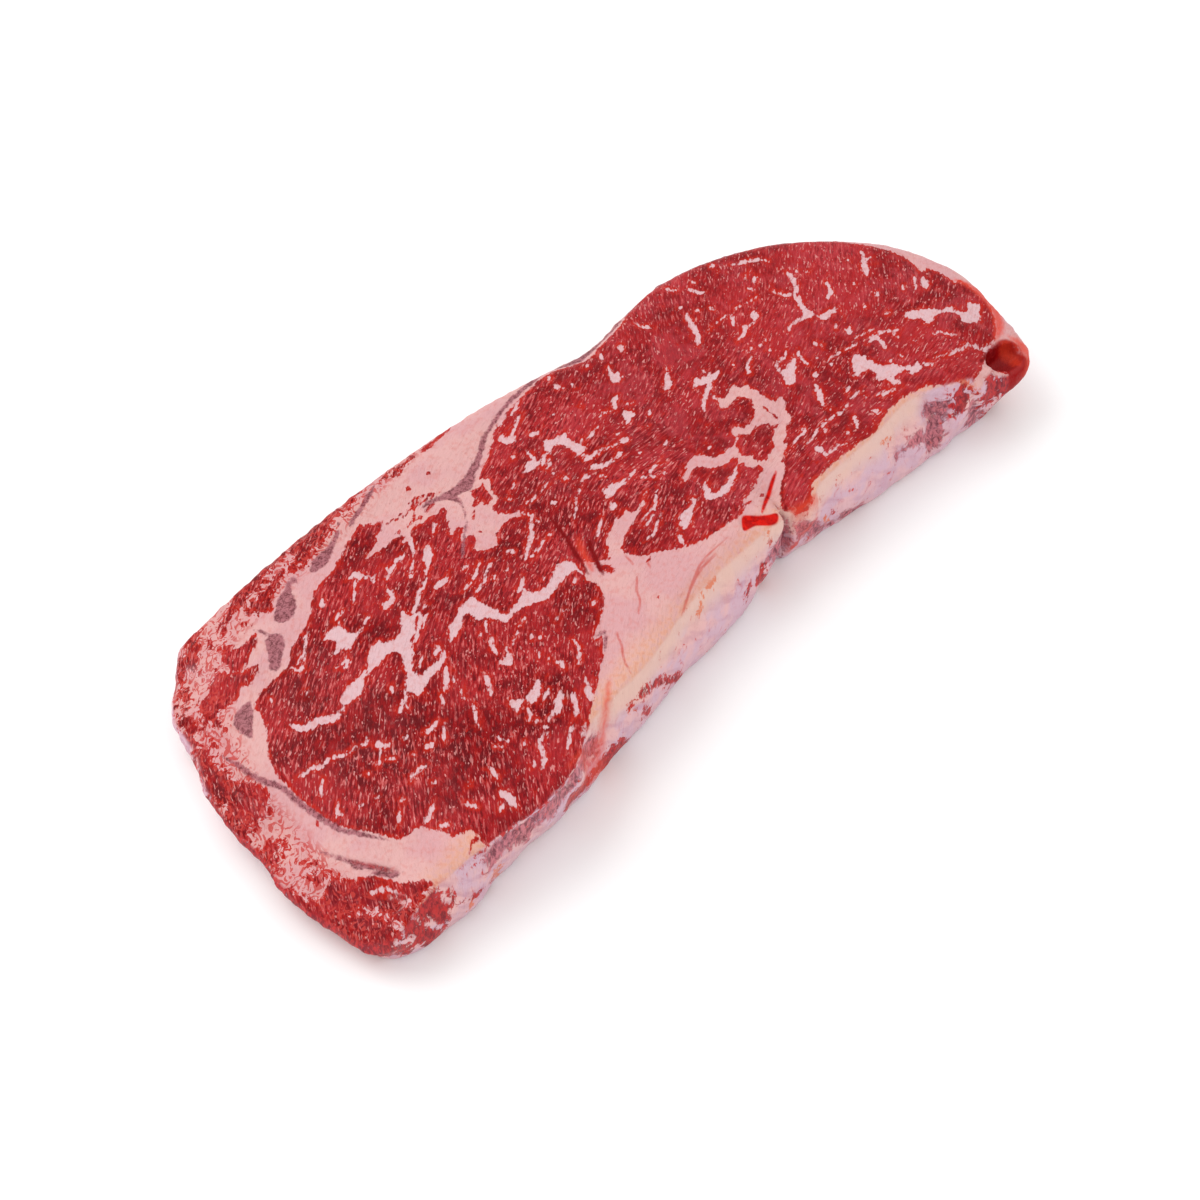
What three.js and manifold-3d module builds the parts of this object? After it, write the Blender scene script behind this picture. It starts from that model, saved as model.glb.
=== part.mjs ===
// Raw sirloin steak: one solid of meat and fat, lying flat on its lower cut face.
// Millimetres, +Z up, +X along the steak from the thin tail to the thick lobe.
import * as THREE from "three";
import { mergeVertices, toCreasedNormals } from "three/addons/utils/BufferGeometryUtils.js";
import Module from "manifold-3d";

const THICKNESS = 25;
const CROWN = 0.9;
const TAIL_START_X = -62;
const TAIL_END_X = -122;
const TAIL_DROP = 10;

const SAMPLES_PER_STEP = 4;
const TOP_RINGS = 12;
const WALL_RINGS = 7;
const SPINE_LEFT = new THREE.Vector2(-84, -2);
const SPINE_RIGHT = new THREE.Vector2(86, 2);
const CORE_SHARE = 0.02;
const RING_CROWDING = 0.4;

// Rim of the upper face, anticlockwise from above: x, y, height, and how far the foot stands out.
const FAR_EDGE = [
  [121, -15, 24.5, -3],
  [119.5, -3, 25, -3],
  [114.5, 8.5, 25.5, -3],
  [105.5, 19, 26, -2],
  [94, 29, 26, -2],
  [79, 36.5, 26, -2],
  [64, 40, 26, -3],
  [50, 39.5, 25.5, -3],
  [36, 38, 25.5, -3],
  [20, 41, 26, -3],
  [4, 44, 26, -2],
  [-14, 46, 25.5, -2],
  [-34, 46.5, 26, -2],
  [-54, 47, 25, -3],
  [-72, 47, 23.5, -4],
  [-84, 48, 20, -4],
];
const TAIL_EDGE = [
  [-94, 48.5, 15.5, -4],
  [-99.5, 43, 12.5, -3],
  [-106, 37, 12, -3],
  [-109, 26.5, 11.5, -3],
  [-113.5, 17, 10.5, -3],
  [-116.5, 6, 10, -3],
  [-117, -5.5, 10, -3],
  [-120, -18, 10, -3],
  [-119, -30.5, 10, -3],
  [-118, -39.5, 11.5, -3],
  [-113.5, -45.5, 16.5, -2],
];
const NEAR_EDGE = [
  [-104, -45, 20, 1.5],
  [-91, -45.5, 22, 1.5],
  [-80, -46.5, 23, -1.5],
  [-69, -48.5, 24, -4.5],
  [-58, -47, 24.5, -3],
  [-47, -41.5, 25, 1.5],
  [-37, -40, 25, 1],
  [-24, -39, 25, 0.5],
  [-11, -36, 25, 1],
  [2, -33.5, 25, 3],
  [14, -33, 25, 2],
  [24, -33, 25, -1],
];
const NOTCH_EDGE = [
  [29.5, -33, 24.5, -3.5],
  [31.5, -28.5, 24, -2.5],
  [34, -32, 21.5, -1.5],
  [38, -34, 23.5, -3],
];
const LOBE_EDGE = [
  [44.5, -32.5, 25, -0.5],
  [56, -32.5, 25.5, 1],
  [67, -32, 25.5, 3],
  [78, -31, 25.5, 5],
  [87, -34, 25.5, 2.5],
  [96, -37.5, 24.5, -1],
  [103.5, -40, 21, -3],
  [109.5, -41.5, 18.5, -6.5],
  [115.5, -40, 20, -6],
  [118.5, -28, 23, -4],
];
const RIM = [...FAR_EDGE, ...TAIL_EDGE, ...NEAR_EDGE, ...NOTCH_EDGE, ...LOBE_EDGE];

// The wall bulges between the rim and the foot, then tucks under to the flat lower face.
const WALL_BULGE = 1.6;
const FOOT_HEIGHT = 3;
const FOOT_TUCK = 2.4;
const RIM_ROUND = 1.3;
const WALL_WAVES = [
  { count: 19, size: 0.45, phase: 0.4, slant: 1.1 },
  { count: 43, size: 0.28, phase: 2.1, slant: -1.7 },
];
const WALL_GROOVES = [
  { x: 85, width: 3.2, depth: 1.8 },
  { x: 73, width: 2.2, depth: 0.9 },
  { x: -62, width: 4, depth: 0.8 },
  { x: -22, width: 2.4, depth: 0.7 },
];

// Muscles and fat that stand above the upper face (rise > 0) or sink below it.
const MOUNDS = [
  { x: -56, y: 4, rx: 36, ry: 28, turn: 0.1, rise: 1.1 },
  { x: 14, y: 10, rx: 24, ry: 24, turn: 0, rise: 0.8 },
  { x: 76, y: 6, rx: 34, ry: 22, turn: -0.3, rise: 1.2 },
  { x: 4, y: -30, rx: 26, ry: 5, turn: 0.05, rise: 1 },
  { x: -40, y: 44, rx: 30, ry: 4, turn: 0, rise: 0.7 },
  { x: 96, y: -26, rx: 14, ry: 6, turn: -0.3, rise: 0.9 },
  { x: 70, y: -24, rx: 18, ry: 5, turn: 0, rise: -0.8 },
  { x: -102, y: 12, rx: 8, ry: 12, turn: 0.2, rise: 1.3 },
  { x: -104, y: -26, rx: 8, ry: 12, turn: 0.1, rise: 1.4 },
  { x: -112, y: -4, rx: 5, ry: 14, turn: 0.1, rise: -1.4 },
  { x: -92, y: 38, rx: 9, ry: 6, turn: 0.5, rise: 1 },
  { x: -13, y: -4, rx: 7, ry: 9, turn: 0.3, rise: -1.2 },
  { x: -110, y: -38, rx: 6, ry: 5, turn: 0, rise: -1.6 },
];
const SEAMS = [
  { path: [[55, -11], [47, -16], [40, -21], [31, -27]], width: 4.5, depth: 1.4 },
  { path: [[14, 40], [-1, 34], [-13, 31], [-22, 30], [-40, 38]], width: 4, depth: 0.9 },
  { path: [[-70, 28], [-88, 21], [-97, 16], [-104, 4], [-107, -12], [-103, -26], [-92, -34]], width: 4, depth: 1 },
  { path: [[-11, -10], [-22, -22], [-37, -36]], width: 4, depth: 0.8 },
];

// Narrow cuts that open in the upper face: half width at the face, height of the face and of the floor.
const CUTS = [
  { path: [[-10.2, 9], [-11.6, 2.5], [-13.2, -3], [-16.4, -12]], half: 0.5, face: 25.3, floor: 21 },
  { path: [[-7.2, -2.2], [-9.4, -6], [-12, -10.6], [-14.6, -15.6]], half: 0.6, face: 25.3, floor: 20.5 },
  { path: [[39.2, -22], [36.4, -23.4], [33, -25.2], [27, -28.6]], half: 0.5, face: 24.8, floor: 20 },
  { path: [[18.6, -29.2], [21, -27.6], [24.6, -29.4], [29.6, -31.8]], half: 0.6, face: 24.8, floor: 20 },
  { path: [[-110.4, -14], [-109.2, -20], [-107.3, -27.4], [-102.6, -36.6]], half: 0.5, face: 16.2, floor: 14 },
];
const CUT_STEPS = 8;
const CUT_OVERSHOOT = 4;

const POCKETS = [
  { centre: [109.4, -37.4, 20.2], radii: [6.2, 3.5, 5.2], turn: -0.25, tilt: 0.35 },
  { centre: [-109.8, -38.4, 17], radii: [4.8, 2.3, 3.2], turn: -0.8, tilt: 0 },
];
const FAT_NUBS = [
  { centre: [96.6, -38.6, 20.2], radii: [2.4, 1.9, 2.3], turn: 0.6, tilt: 0 },
  { centre: [101.4, -37.6, 21], radii: [1.6, 1.3, 1.5], turn: 0.2, tilt: 0 },
];

const MEAT = new THREE.MeshStandardMaterial({ color: 0x983531, roughness: 0.42, metalness: 0 });

function smooth(t) {
  const clamped = Math.min(Math.max(t, 0), 1);
  return clamped * clamped * (3 - 2 * clamped);
}

// Closed smooth curve through the rim table; every sample carries height and foot stand-out.
function sampleRim() {
  const plan = new THREE.CatmullRomCurve3(
    RIM.map(([x, y, height]) => new THREE.Vector3(x, y, height)), true, "centripetal");
  const count = RIM.length * SAMPLES_PER_STEP;
  const samples = [];
  for (let i = 0; i < count; i += 1) {
    const t = i / count;
    const step = Math.floor(t * RIM.length);
    const blend = smooth(t * RIM.length - step);
    const foot = THREE.MathUtils.lerp(RIM[step][3], RIM[(step + 1) % RIM.length][3], blend);
    const point = plan.getPoint(t);
    const core = spinePoint(point);
    const out = new THREE.Vector2(point.x, point.y).sub(core).normalize();
    samples.push({ point, core, out, foot, turn: t * 2 * Math.PI });
  }
  return samples;
}

function moundHeight(x, y) {
  let height = 0;
  for (const mound of MOUNDS) {
    const dx = x - mound.x;
    const dy = y - mound.y;
    const across = (dx * Math.cos(mound.turn) + dy * Math.sin(mound.turn)) / mound.rx;
    const up = (dy * Math.cos(mound.turn) - dx * Math.sin(mound.turn)) / mound.ry;
    height += mound.rise * Math.exp(-(across * across + up * up));
  }
  return height;
}

function distanceToPath(x, y, path) {
  let nearest = Infinity;
  for (let i = 1; i < path.length; i += 1) {
    const [ax, ay] = path[i - 1];
    const [bx, by] = path[i];
    const length2 = (bx - ax) ** 2 + (by - ay) ** 2;
    const t = Math.min(Math.max(((x - ax) * (bx - ax) + (y - ay) * (by - ay)) / length2, 0), 1);
    nearest = Math.min(nearest, Math.hypot(x - ax - t * (bx - ax), y - ay - t * (by - ay)));
  }
  return nearest;
}

function seamDepth(x, y) {
  let depth = 0;
  for (const seam of SEAMS) {
    depth += seam.depth * Math.exp(-((distanceToPath(x, y, seam.path) / seam.width) ** 2));
  }
  return depth;
}

function plateauHeight(x) {
  const tail = smooth((TAIL_START_X - x) / (TAIL_START_X - TAIL_END_X));
  return THICKNESS + CROWN - TAIL_DROP * tail;
}

// Height of the upper face; inward runs from 0 on the rim to 1 at the middle of the steak.
function faceHeight(x, y, rimHeight, inward) {
  const settle = smooth(inward * 2.4);
  const relief = moundHeight(x, y) - seamDepth(x, y);
  const lip = RIM_ROUND * smooth(inward * 12);
  return THREE.MathUtils.lerp(rimHeight - RIM_ROUND + lip, plateauHeight(x), settle) + relief * smooth(inward * 8);
}

function spinePoint(point) {
  const spine = SPINE_RIGHT.clone().sub(SPINE_LEFT);
  const offset = new THREE.Vector2(point.x, point.y).sub(SPINE_LEFT);
  const t = Math.min(Math.max(offset.dot(spine) / spine.lengthSq(), 0), 1);
  return SPINE_LEFT.clone().addScaledVector(spine, t);
}

function faceRing(samples, inward) {
  return samples.map(({ point, core }) => {
    const x = THREE.MathUtils.lerp(point.x, core.x, inward);
    const y = THREE.MathUtils.lerp(point.y, core.y, inward);
    return new THREE.Vector3(x, y, faceHeight(x, y, point.z, inward));
  });
}

function wallRelief(sample, down) {
  let relief = 0;
  for (const wave of WALL_WAVES) {
    relief += wave.size * Math.sin(wave.count * sample.turn + wave.phase + wave.slant * down * Math.PI);
  }
  if (sample.out.y < 0) {
    for (const groove of WALL_GROOVES) {
      relief -= groove.depth * Math.exp(-(((sample.point.x - groove.x) / groove.width) ** 2));
    }
  }
  return relief * Math.sin(down * Math.PI);
}

function wallRing(samples, down) {
  return samples.map((sample) => {
    const bulge = WALL_BULGE * Math.sin(down * Math.PI) + wallRelief(sample, down);
    const stand = bulge + sample.foot * smooth(down);
    const top = sample.point.z - RIM_ROUND;
    return new THREE.Vector3(
      sample.point.x + sample.out.x * stand,
      sample.point.y + sample.out.y * stand,
      THREE.MathUtils.lerp(top, FOOT_HEIGHT, down));
  });
}

function soleRing(samples, tuck, height) {
  return samples.map((sample) => {
    const stand = sample.foot - tuck;
    return new THREE.Vector3(
      sample.point.x + sample.out.x * stand,
      sample.point.y + sample.out.y * stand,
      height);
  });
}

function meatRings(samples) {
  const rings = [];
  for (let i = 0; i < TOP_RINGS; i += 1) {
    const share = i / (TOP_RINGS - 1);
    const outward = share * (1 + RING_CROWDING * (1 - share));
    rings.push(faceRing(samples, (1 - outward) * (1 - CORE_SHARE)));
  }
  for (let i = 1; i <= WALL_RINGS; i += 1) {
    rings.push(wallRing(samples, i / WALL_RINGS));
  }
  rings.push(soleRing(samples, FOOT_TUCK * 0.3, FOOT_HEIGHT * 0.3));
  rings.push(soleRing(samples, FOOT_TUCK, 0));
  return rings;
}

// Joins the rings from the middle of the upper face down to the edge of the lower face, and caps both.
function skinRings(rings) {
  const count = rings[0].length;
  const positions = rings.flatMap((ring) => ring.flatMap((point) => [point.x, point.y, point.z]));
  const index = [];
  for (let r = 1; r < rings.length; r += 1) {
    for (let i = 0; i < count; i += 1) {
      const next = (i + 1) % count;
      const a = (r - 1) * count + i;
      const b = (r - 1) * count + next;
      const c = r * count + i;
      const d = r * count + next;
      index.push(a, c, b, b, c, d);
    }
  }
  const last = (rings.length - 1) * count;
  index.push(...ladderFaces(rings[0]));
  for (const [a, b, c] of capFaces(rings[rings.length - 1])) {
    index.push(last + a, last + c, last + b);
  }
  const geometry = new THREE.BufferGeometry();
  geometry.setAttribute("position", new THREE.Float32BufferAttribute(positions, 3));
  geometry.setIndex(index);
  return geometry;
}

// Closes a long narrow ring with short triangles, stepping along both of its sides at once.
function ladderFaces(ring) {
  const faces = [];
  let left = 0;
  let right = ring.length - 1;
  while (right - left > 1) {
    const leftStep = ring[left + 1].distanceTo(ring[right]);
    const rightStep = ring[left].distanceTo(ring[right - 1]);
    if (leftStep < rightStep) {
      faces.push(left, left + 1, right);
      left += 1;
    } else {
      faces.push(left, right - 1, right);
      right -= 1;
    }
  }
  return faces;
}

function capFaces(ring) {
  return THREE.ShapeUtils.triangulateShape(ring.map((point) => new THREE.Vector2(point.x, point.y)), []);
}

// A blade standing on its edge along a path; subtracted, it leaves a cut that tapers at both ends.
function bladeGeometry(cut) {
  const points = cut.path.map(([x, y]) => new THREE.Vector3(x, y, 0));
  const curve = new THREE.CatmullRomCurve3(points);
  const positions = [];
  const sections = CUT_STEPS + 1;
  for (let i = 0; i < sections; i += 1) {
    const t = i / CUT_STEPS;
    const point = curve.getPoint(t);
    const along = curve.getTangent(t);
    const fullness = 0.12 + 0.88 * Math.sqrt(Math.sin(Math.PI * t));
    const depth = (cut.face - cut.floor) * fullness;
    const top = cut.face + CUT_OVERSHOOT;
    const half = (cut.half * fullness * (depth + CUT_OVERSHOOT)) / depth;
    for (const [side, height] of [[-half, top], [half, top], [0, cut.face - depth]]) {
      positions.push(point.x + along.y * side, point.y - along.x * side, height);
    }
  }
  const index = [];
  for (let i = 1; i < sections; i += 1) {
    for (let k = 0; k < 3; k += 1) {
      const a = (i - 1) * 3 + k;
      const b = (i - 1) * 3 + ((k + 1) % 3);
      index.push(a, b, a + 3, b, b + 3, a + 3);
    }
  }
  const end = (sections - 1) * 3;
  index.push(0, 2, 1, end, end + 1, end + 2);
  const geometry = new THREE.BufferGeometry();
  geometry.setAttribute("position", new THREE.Float32BufferAttribute(positions, 3));
  geometry.setIndex(index);
  return geometry;
}

function lumpGeometry(lump) {
  const geometry = new THREE.SphereGeometry(1, 18, 10);
  geometry.scale(...lump.radii);
  geometry.rotateX(lump.tilt);
  geometry.rotateZ(lump.turn);
  geometry.translate(...lump.centre);
  return geometry;
}

const wasm = await Module();
wasm.setup();

function toManifold(geometry) {
  const bare = geometry.clone();
  bare.deleteAttribute("normal");
  bare.deleteAttribute("uv");
  const merged = mergeVertices(bare, 1e-4);
  return new wasm.Manifold(new wasm.Mesh({
    numProp: 3,
    vertProperties: new Float32Array(merged.attributes.position.array),
    triVerts: new Uint32Array(merged.index.array),
  }));
}

function toGeometry(manifold) {
  const mesh = manifold.getMesh();
  const geometry = new THREE.BufferGeometry();
  geometry.setAttribute("position", new THREE.Float32BufferAttribute(mesh.vertProperties, 3));
  geometry.setIndex(Array.from(mesh.triVerts));
  return geometry;
}

// Moves the steak in plan until the middle of its box stands over the origin.
function centred(geometry) {
  geometry.computeBoundingBox();
  const middle = geometry.boundingBox.getCenter(new THREE.Vector3());
  return geometry.translate(-middle.x, -middle.y, 0);
}

function steakGeometry() {
  let meat = toManifold(skinRings(meatRings(sampleRim())));
  for (const cut of CUTS) {
    meat = meat.subtract(toManifold(bladeGeometry(cut)));
  }
  for (const pocket of POCKETS) {
    meat = meat.subtract(toManifold(lumpGeometry(pocket)));
  }
  for (const nub of FAT_NUBS) {
    meat = meat.add(toManifold(lumpGeometry(nub)));
  }
  return toCreasedNormals(centred(toGeometry(meat)), Math.PI / 4);
}

const steak = new THREE.Mesh(steakGeometry(), MEAT);
steak.name = "steak";
const group = new THREE.Group();
group.add(steak);

export default group;
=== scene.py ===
"""A raw sirloin steak on a pale surface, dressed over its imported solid."""
import math

import bmesh
import bpy
import numpy as np
from mathutils import Matrix, Vector, kdtree, noise


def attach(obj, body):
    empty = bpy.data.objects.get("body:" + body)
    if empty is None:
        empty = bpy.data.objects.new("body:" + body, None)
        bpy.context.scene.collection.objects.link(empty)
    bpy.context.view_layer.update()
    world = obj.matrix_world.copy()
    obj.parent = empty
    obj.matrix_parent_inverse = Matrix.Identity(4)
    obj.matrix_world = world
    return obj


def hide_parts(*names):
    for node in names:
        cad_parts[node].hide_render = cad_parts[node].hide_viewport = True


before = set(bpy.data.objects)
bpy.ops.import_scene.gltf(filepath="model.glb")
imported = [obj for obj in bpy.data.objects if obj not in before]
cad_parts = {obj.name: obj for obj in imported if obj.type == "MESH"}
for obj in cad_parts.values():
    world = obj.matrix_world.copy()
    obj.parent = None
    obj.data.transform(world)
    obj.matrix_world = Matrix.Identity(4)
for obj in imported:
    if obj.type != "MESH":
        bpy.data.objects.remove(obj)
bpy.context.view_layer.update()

MM = 0.001

# Camera: where it looks, from how far, and its turn round the steak.
CAMERA_AIM = Vector((-13.15, -12.05, 12.0)) * MM
CAMERA_DISTANCE = 800 * MM
CAMERA_AZIMUTH = math.radians(-46.7)
CAMERA_ELEVATION = math.radians(52)
CAMERA_LENS = 100
CAMERA_SENSOR = 36

# Floor, sky and lamp, in metres, watts and linear colours.
FLOOR_HALF = 3
FLOOR_COLOUR = (0.93, 0.93, 0.93, 1)
FLOOR_ROUGHNESS = 0.9
SKY_COLOUR = (1, 1, 1, 1)
SKY_STRENGTH = 1.06
LAMP_PLACE = (-0.5, 0.9, 1.4)
LAMP_SIZE = 1.2
LAMP_POWER = 11

# Skin: the grid that the solid is resampled on, how its steps are evened out, and where its flat sole is.
SKIN_STEP = 0.65 * MM
SMOOTHING_SHARE = 0.5
SMOOTHING_ROUNDS = 6
SOLE_HEIGHT = 0.5 * MM
SOLE_SLOPE = -0.9

# Depths are measured in mm in from the edge of an outline or a line, and no further than the reach. The edge
# is smoothed in steps from point to point, and a line loses a share of its width towards its ends.
REACH = 2.0
CURVE_STEPS = 3
LINE_TAPER = 0.7
FAR = 1e9
TINY = 1e-9

# Upward part of the surface direction at which the cut face turns into the side.
SIDE_START = 0.8
SIDE_END = 0.45

# The rim: how much of the side shows there, from and to, and its least height in mm.
RIM_START = 0.2
RIM_END = 0.8
RIM_HEIGHT = 8

# Relief of the skin: rises and sinks in mm, the depths over which they grow, and noise scales in mm.
NOISE_SHIFT = (17.3, 5.1, 9.7)
MUSCLE_RISE = 0.22
MUSCLE_SLOPE = (-1, 1.2)
CUT_SINK = 0.4
CUT_SLOPE = (-0.4, 1)
CRUMB_RISE = 0.45
CRUMB_SCALE = (2.2, 2.2, 2.2)
FINE_RISE = 0.1
FINE_SCALE = (1.6, 1.6, 1.6)
RIB_RISE = 0.4
RIB_SCALE = (3, 3, 14)
SMALL_RIB_SHARE = 0.5
SMALL_RIB_SCALE = (1.6, 1.6, 6)
RIB_FOOT = (0.5, 3)
PURPLE_SINK = 0.5
PURPLE_SLOPE = (-1, 1.5)
RECESS_X = 84
RECESS_WIDTH = 3.5
RECESS_STEP = 2.4
RECESS_SLANT = 0.3
RECESS_RIB = 0.35

# Stretches of the steak, in mm: warm fat along the near edge, the cream top of the side, and the end of the
# tail, whose side is painted dark red as shade.
WARM_EDGE = -36.5
WARM_SLOPE = 0.1
WARM_ACROSS = (8, 1)
WARM_ALONG = (98, 90)
CREAM_START = (-52, -44)
CREAM_END = (84, 78)
SHADED_TAIL_END = -114.5

# Depth in mm into the muscles over which fat turns into marbling.
MARBLED_DEPTH = (-0.3, 0.9)

# Colours, as screen values from 0 to 255.
MUSCLE_DARK = (98, 2, 12)
MUSCLE_RED = (138, 6, 12)
MUSCLE_LIGHT = (174, 38, 42)
MUSCLE_ROSY = (178, 56, 64)
MUSCLE_DUSK = (116, 22, 32)
# Pale pink of the painted highlights on the fibre ridges.
MUSCLE_RIDGE_HIGHLIGHT = (206, 104, 102)
MUSCLE_EDGE = (180, 30, 12)
# Pink of the flecks, partly fat and partly painted wet glints.
FLECK_PINK = (218, 146, 142)
FAT_PINK = (206, 154, 156)
FAT_CREAM = (211, 162, 159)
FAT_MARBLE = (210, 172, 176)
FAT_WARM = (222, 168, 138)
FAT_ROSY = (200, 120, 114)
FAT_RAW = (184, 58, 52)
# Grey-purple of silver skin, also used for the painted highlight along the right rim.
SILVER_SKIN_AND_HIGHLIGHT = (164, 98, 106)
# Silver skin in painted shade, in its creases.
SILVER_CREASE_SHADE = (98, 36, 46)
VEIN_RED = (186, 50, 30)
SLIT_RED = (208, 20, 8)
# Dark reds painted as shade inside the clefts and, in patches, inside the slit and gash.
CLEFT_SHADE_RED = (120, 2, 8)
CUT_SHADE_RED = (170, 8, 8)
POCKET_RED = (148, 6, 10)
GLOW_ORANGE = (212, 62, 40)
SIDE_CREAM = (222, 184, 170)
# Lilac, set darker partly as painted shade towards the foot of the side.
SIDE_LILAC = (208, 172, 186)
SIDE_PINK = (224, 176, 174)
SIDE_ROSY = (196, 108, 116)
# Purple of membrane, and of painted shade on the side.
SIDE_PURPLE = (108, 38, 52)
SIDE_MAUVE = (200, 114, 124)
SIDE_DUSK = (178, 122, 142)
SIDE_RED = (120, 10, 24)
SIDE_BLOOD = (190, 44, 44)
SIDE_ORANGE = (214, 108, 66)

# Noise of the looks: scale per mm, detail, roughness and swirl of each.
MUSCLE_BROAD = (0.05, 2)
MUSCLE_BLOTCHES = (0.11, 4, 0.6, 0.8)
MUSCLE_CALM = (0.085, 2, 0.5, 0.5)
MUSCLE_PATCHES = (0.3, 2)
FAT_BROAD = (0.09, 3)
FAT_FINE = (0.8, 3)
SIDE_WIDE = (0.16, 3)
SIDE_MOTTLES = (0.3, 4, 0.6, 1.0)
EDGE_NOISE = (0.9, 2)
CRUMBS = (0.34, 3, 0.6, 1.6)
CURLS = (0.36, 2, 0.5, 2.6)
CREASES = (1.1, 3, 0.7, 0.8)
WET_SPOTS = (0.6, 3)

# Noise in streaks: squeeze per mm along and across the fibres, shift, detail and roughness of each.
MUSCLE_LUMPS = (0.3, 0.5, 1.9, 3, 0.6)
MUSCLE_STRANDS = (0.35, 1.7, 0.0, 3, 0.6)
FLECK_LINES = (0.42, 1.6, 3.1, 2, 0.6)
FLECK_SPECKS = (0.8, 1.5, 8.7, 1)
FLECK_CROWDS = (0.07, 0.09, 5.3, 1)
EDGE_FEATHER = (0.4, 1.3, 6.1, 2)
FIBRE_BUMPS = (0.4, 1.4, 0.0, 4, 0.6)

# Noise of the side: squeeze per mm on each axis, then detail, roughness and swirl.
SIDE_STREAK_SCALE = (1.1, 1.1, 0.45)
SIDE_STREAK_NOISE = (4, 0.65, 0.6)
SIDE_SLANT_TURN = (0, math.radians(-38), 0)
SIDE_SLANT_SCALE = (0.1, 0.4, 0.42)
SIDE_SLANT_NOISE = (3, 0.5, 0.3)

# Ramps of the looks: the values where each starts and ends, then its share there where that isn't 0 and 1.
LUMP_RAMP = (0.4, 0.56)
BRIGHT_RAMP = (0.58, 0.72, 0, 0.6)
BROAD_RAMP = (0.4, 0.6, 0, 0.7)
THICK_END_RAMP = (-34, 4, 0, 0.25)
BLOTCH_RAMP = (0.46, 0.6)
BLOTCH_REGION = (-30, 30, 0.1, 0.5)
LOBE_RAMP = (-0.7, 0.7, 0, 0.75)
CALM_RAMP = (0.36, 0.56, 0.35, 1)
CALM_REGION = (0, 50, 1, 0.6)
FIBRE_GAP_SHADE_RAMP = (0.5, 0.38, 0, 0.85)
FIBRE_RIDGE_HIGHLIGHT_RAMP = (0.54, 0.65, 0, 0.8)
FLECK_LINE_RAMP = (0.6, 0.68)
FLECK_SPECK_RAMP = (0.67, 0.76)
FLECK_CROWD_RAMP = (0.34, 0.56, 0.25, 1)
FLECK_DEPTH = (0.0, 0.8, 0, 0.75)
FAT_CREAM_RAMP = (0.4, 0.62)
FAT_WARM_RAMP = (0.3, 0.7, 0.2, 0.9)
FAT_ROSY_RAMP = (0.46, 0.72, 0, 0.4)
SIDE_STREAK_RAMP = (0.38, 0.62)
SIDE_WIDE_RAMP = (0.4, 0.6)
SIDE_MOTTLE_RAMP = (0.54, 0.68, 0, 0.5)
SIDE_FINE_RAMP = (0.55, 0.72, 0, 0.4)
SIDE_SLANT_RAMP = (0.46, 0.72, 0, 0.5)
# Lilac towards the foot of the side, partly painted shade.
SIDE_FOOT_SHADE_RAMP = (7, 15, 0, 0.45)
SIDE_TOP_RAMP = (9, 2, 0, 0.85)
SIDE_PURPLE_RAMP = (-0.9, 0.9, 0, 0.9)
SIDE_AMBER_RAMP = (-0.6, 0.6, 0, 0.8)
SIDE_BLOOD_AND_SHADE_RAMP = (-0.6, 0.6, 0, 0.95)
EDGE_RAMP = (0.16, -0.22)
EDGE_PATCH_RAMP = (0.38, 0.62, 0.15, 0.85)
EDGE_GLOW_RAMP = (1.4, 0.1)
CURL_RAMP = (0.52, 0.6, 0, 0.85)
STAIN_RAMP = (0.5, 0.43, 0.1, 0.85)
SILVER_AND_HIGHLIGHT_RAMP = (-0.2, 0.4, 0, 0.9)
CREASE_RAMP = (0.38, 0.6)
VEIN_RAMP = (-0.35, 0.05, 0, 0.6)
POCKET_RAMP = (-0.4, 0.5, 0, 0.95)
GLOW_RAMP = (-0.9, 1.2, 0, 0.8)
WET_RAMP = (0.4, 0.6)
SLIT_RAMP = (-0.35, 0.15)
CLEFT_RAMP = (-0.35, 0.35)

# How far noise moves an edge, in mm each way, and the gloss and fine bumps of the meat.
FEATHER_SWING = 0.6
EDGE_SWING = 0.4
CRUMB_SWING = 2.6
MOTTLE_SWING = 3
STREAK_SWING = 2
ROUGHNESS_RANGE = (0.36, 0.5)
GLOSS = 0.05
WET_COAT = 0.05
WET_ROUGHNESS = 0.15
BUMP_STRENGTH = 0.9
BUMP_HEIGHT = 0.6 * MM

# Sockets of the node that mixes two colours.
MIX_SHARE = 0
MIX_FIRST = 6
MIX_SECOND = 7
MIX_RESULT = 2

# Lie of the muscle fibres: a place in mm and the angle of the fibres there in degrees.
GRAIN = [
    (-98, 12, 33), (-84, 14, 32), (-66, 22, 33), (-50, 30, 30), (-68, 8, 30), (-50, 10, 30), (-34, 24, 30),
    (-34, 4, 27), (-97, -10, 40), (-84, -8, 43), (-70, -16, 47), (-56, -12, 45), (-92, -28, 50),
    (-74, -34, 52), (-60, -28, 46), (-48, -34, 40), (-42, -18, 42), (-28, -16, 36), (-24, 6, 25),
    (-10, 20, 22), (-8, 4, 30), (6, 32, 20), (6, 10, 16), (16, 24, 24), (20, 4, 0), (2, -14, 20),
    (16, -16, 24), (26, -12, 16), (34, 24, 30), (38, 6, 22), (30, 12, 20), (42, -14, 14), (52, 26, 50),
    (52, 8, 20), (58, -8, 24), (46, -24, 10), (64, -22, 6), (70, 22, 40), (72, 4, 24), (76, -12, 20),
    (88, 22, 40), (92, 4, 40), (92, -16, 16), (104, 2, 44), (106, -22, 30), (96, -32, 10),
    (-112, 8, 60), (-112, -30, 60), (-94, 36, 40), (-72, 42, 30),
]
GRAIN_SCALE = 0.12
GRAIN_WANDER = 5
GRAIN_STRIDE = 31

# Outlines are lists of points, and lines are lists of points under their width, all in mm.

# The tail and the far edge, where meat and fat are ragged and mixed.
RAGGED_MARGIN = {
    24.0: [[(-100, -49), (-112, -47), (-121, -36), (-122, -20), (-120, 0), (-118, 12), (-110, 28), (-98, 44),
            (-84, 48), (-60, 48), (-38, 49), (-16, 48)]],
}

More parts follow.
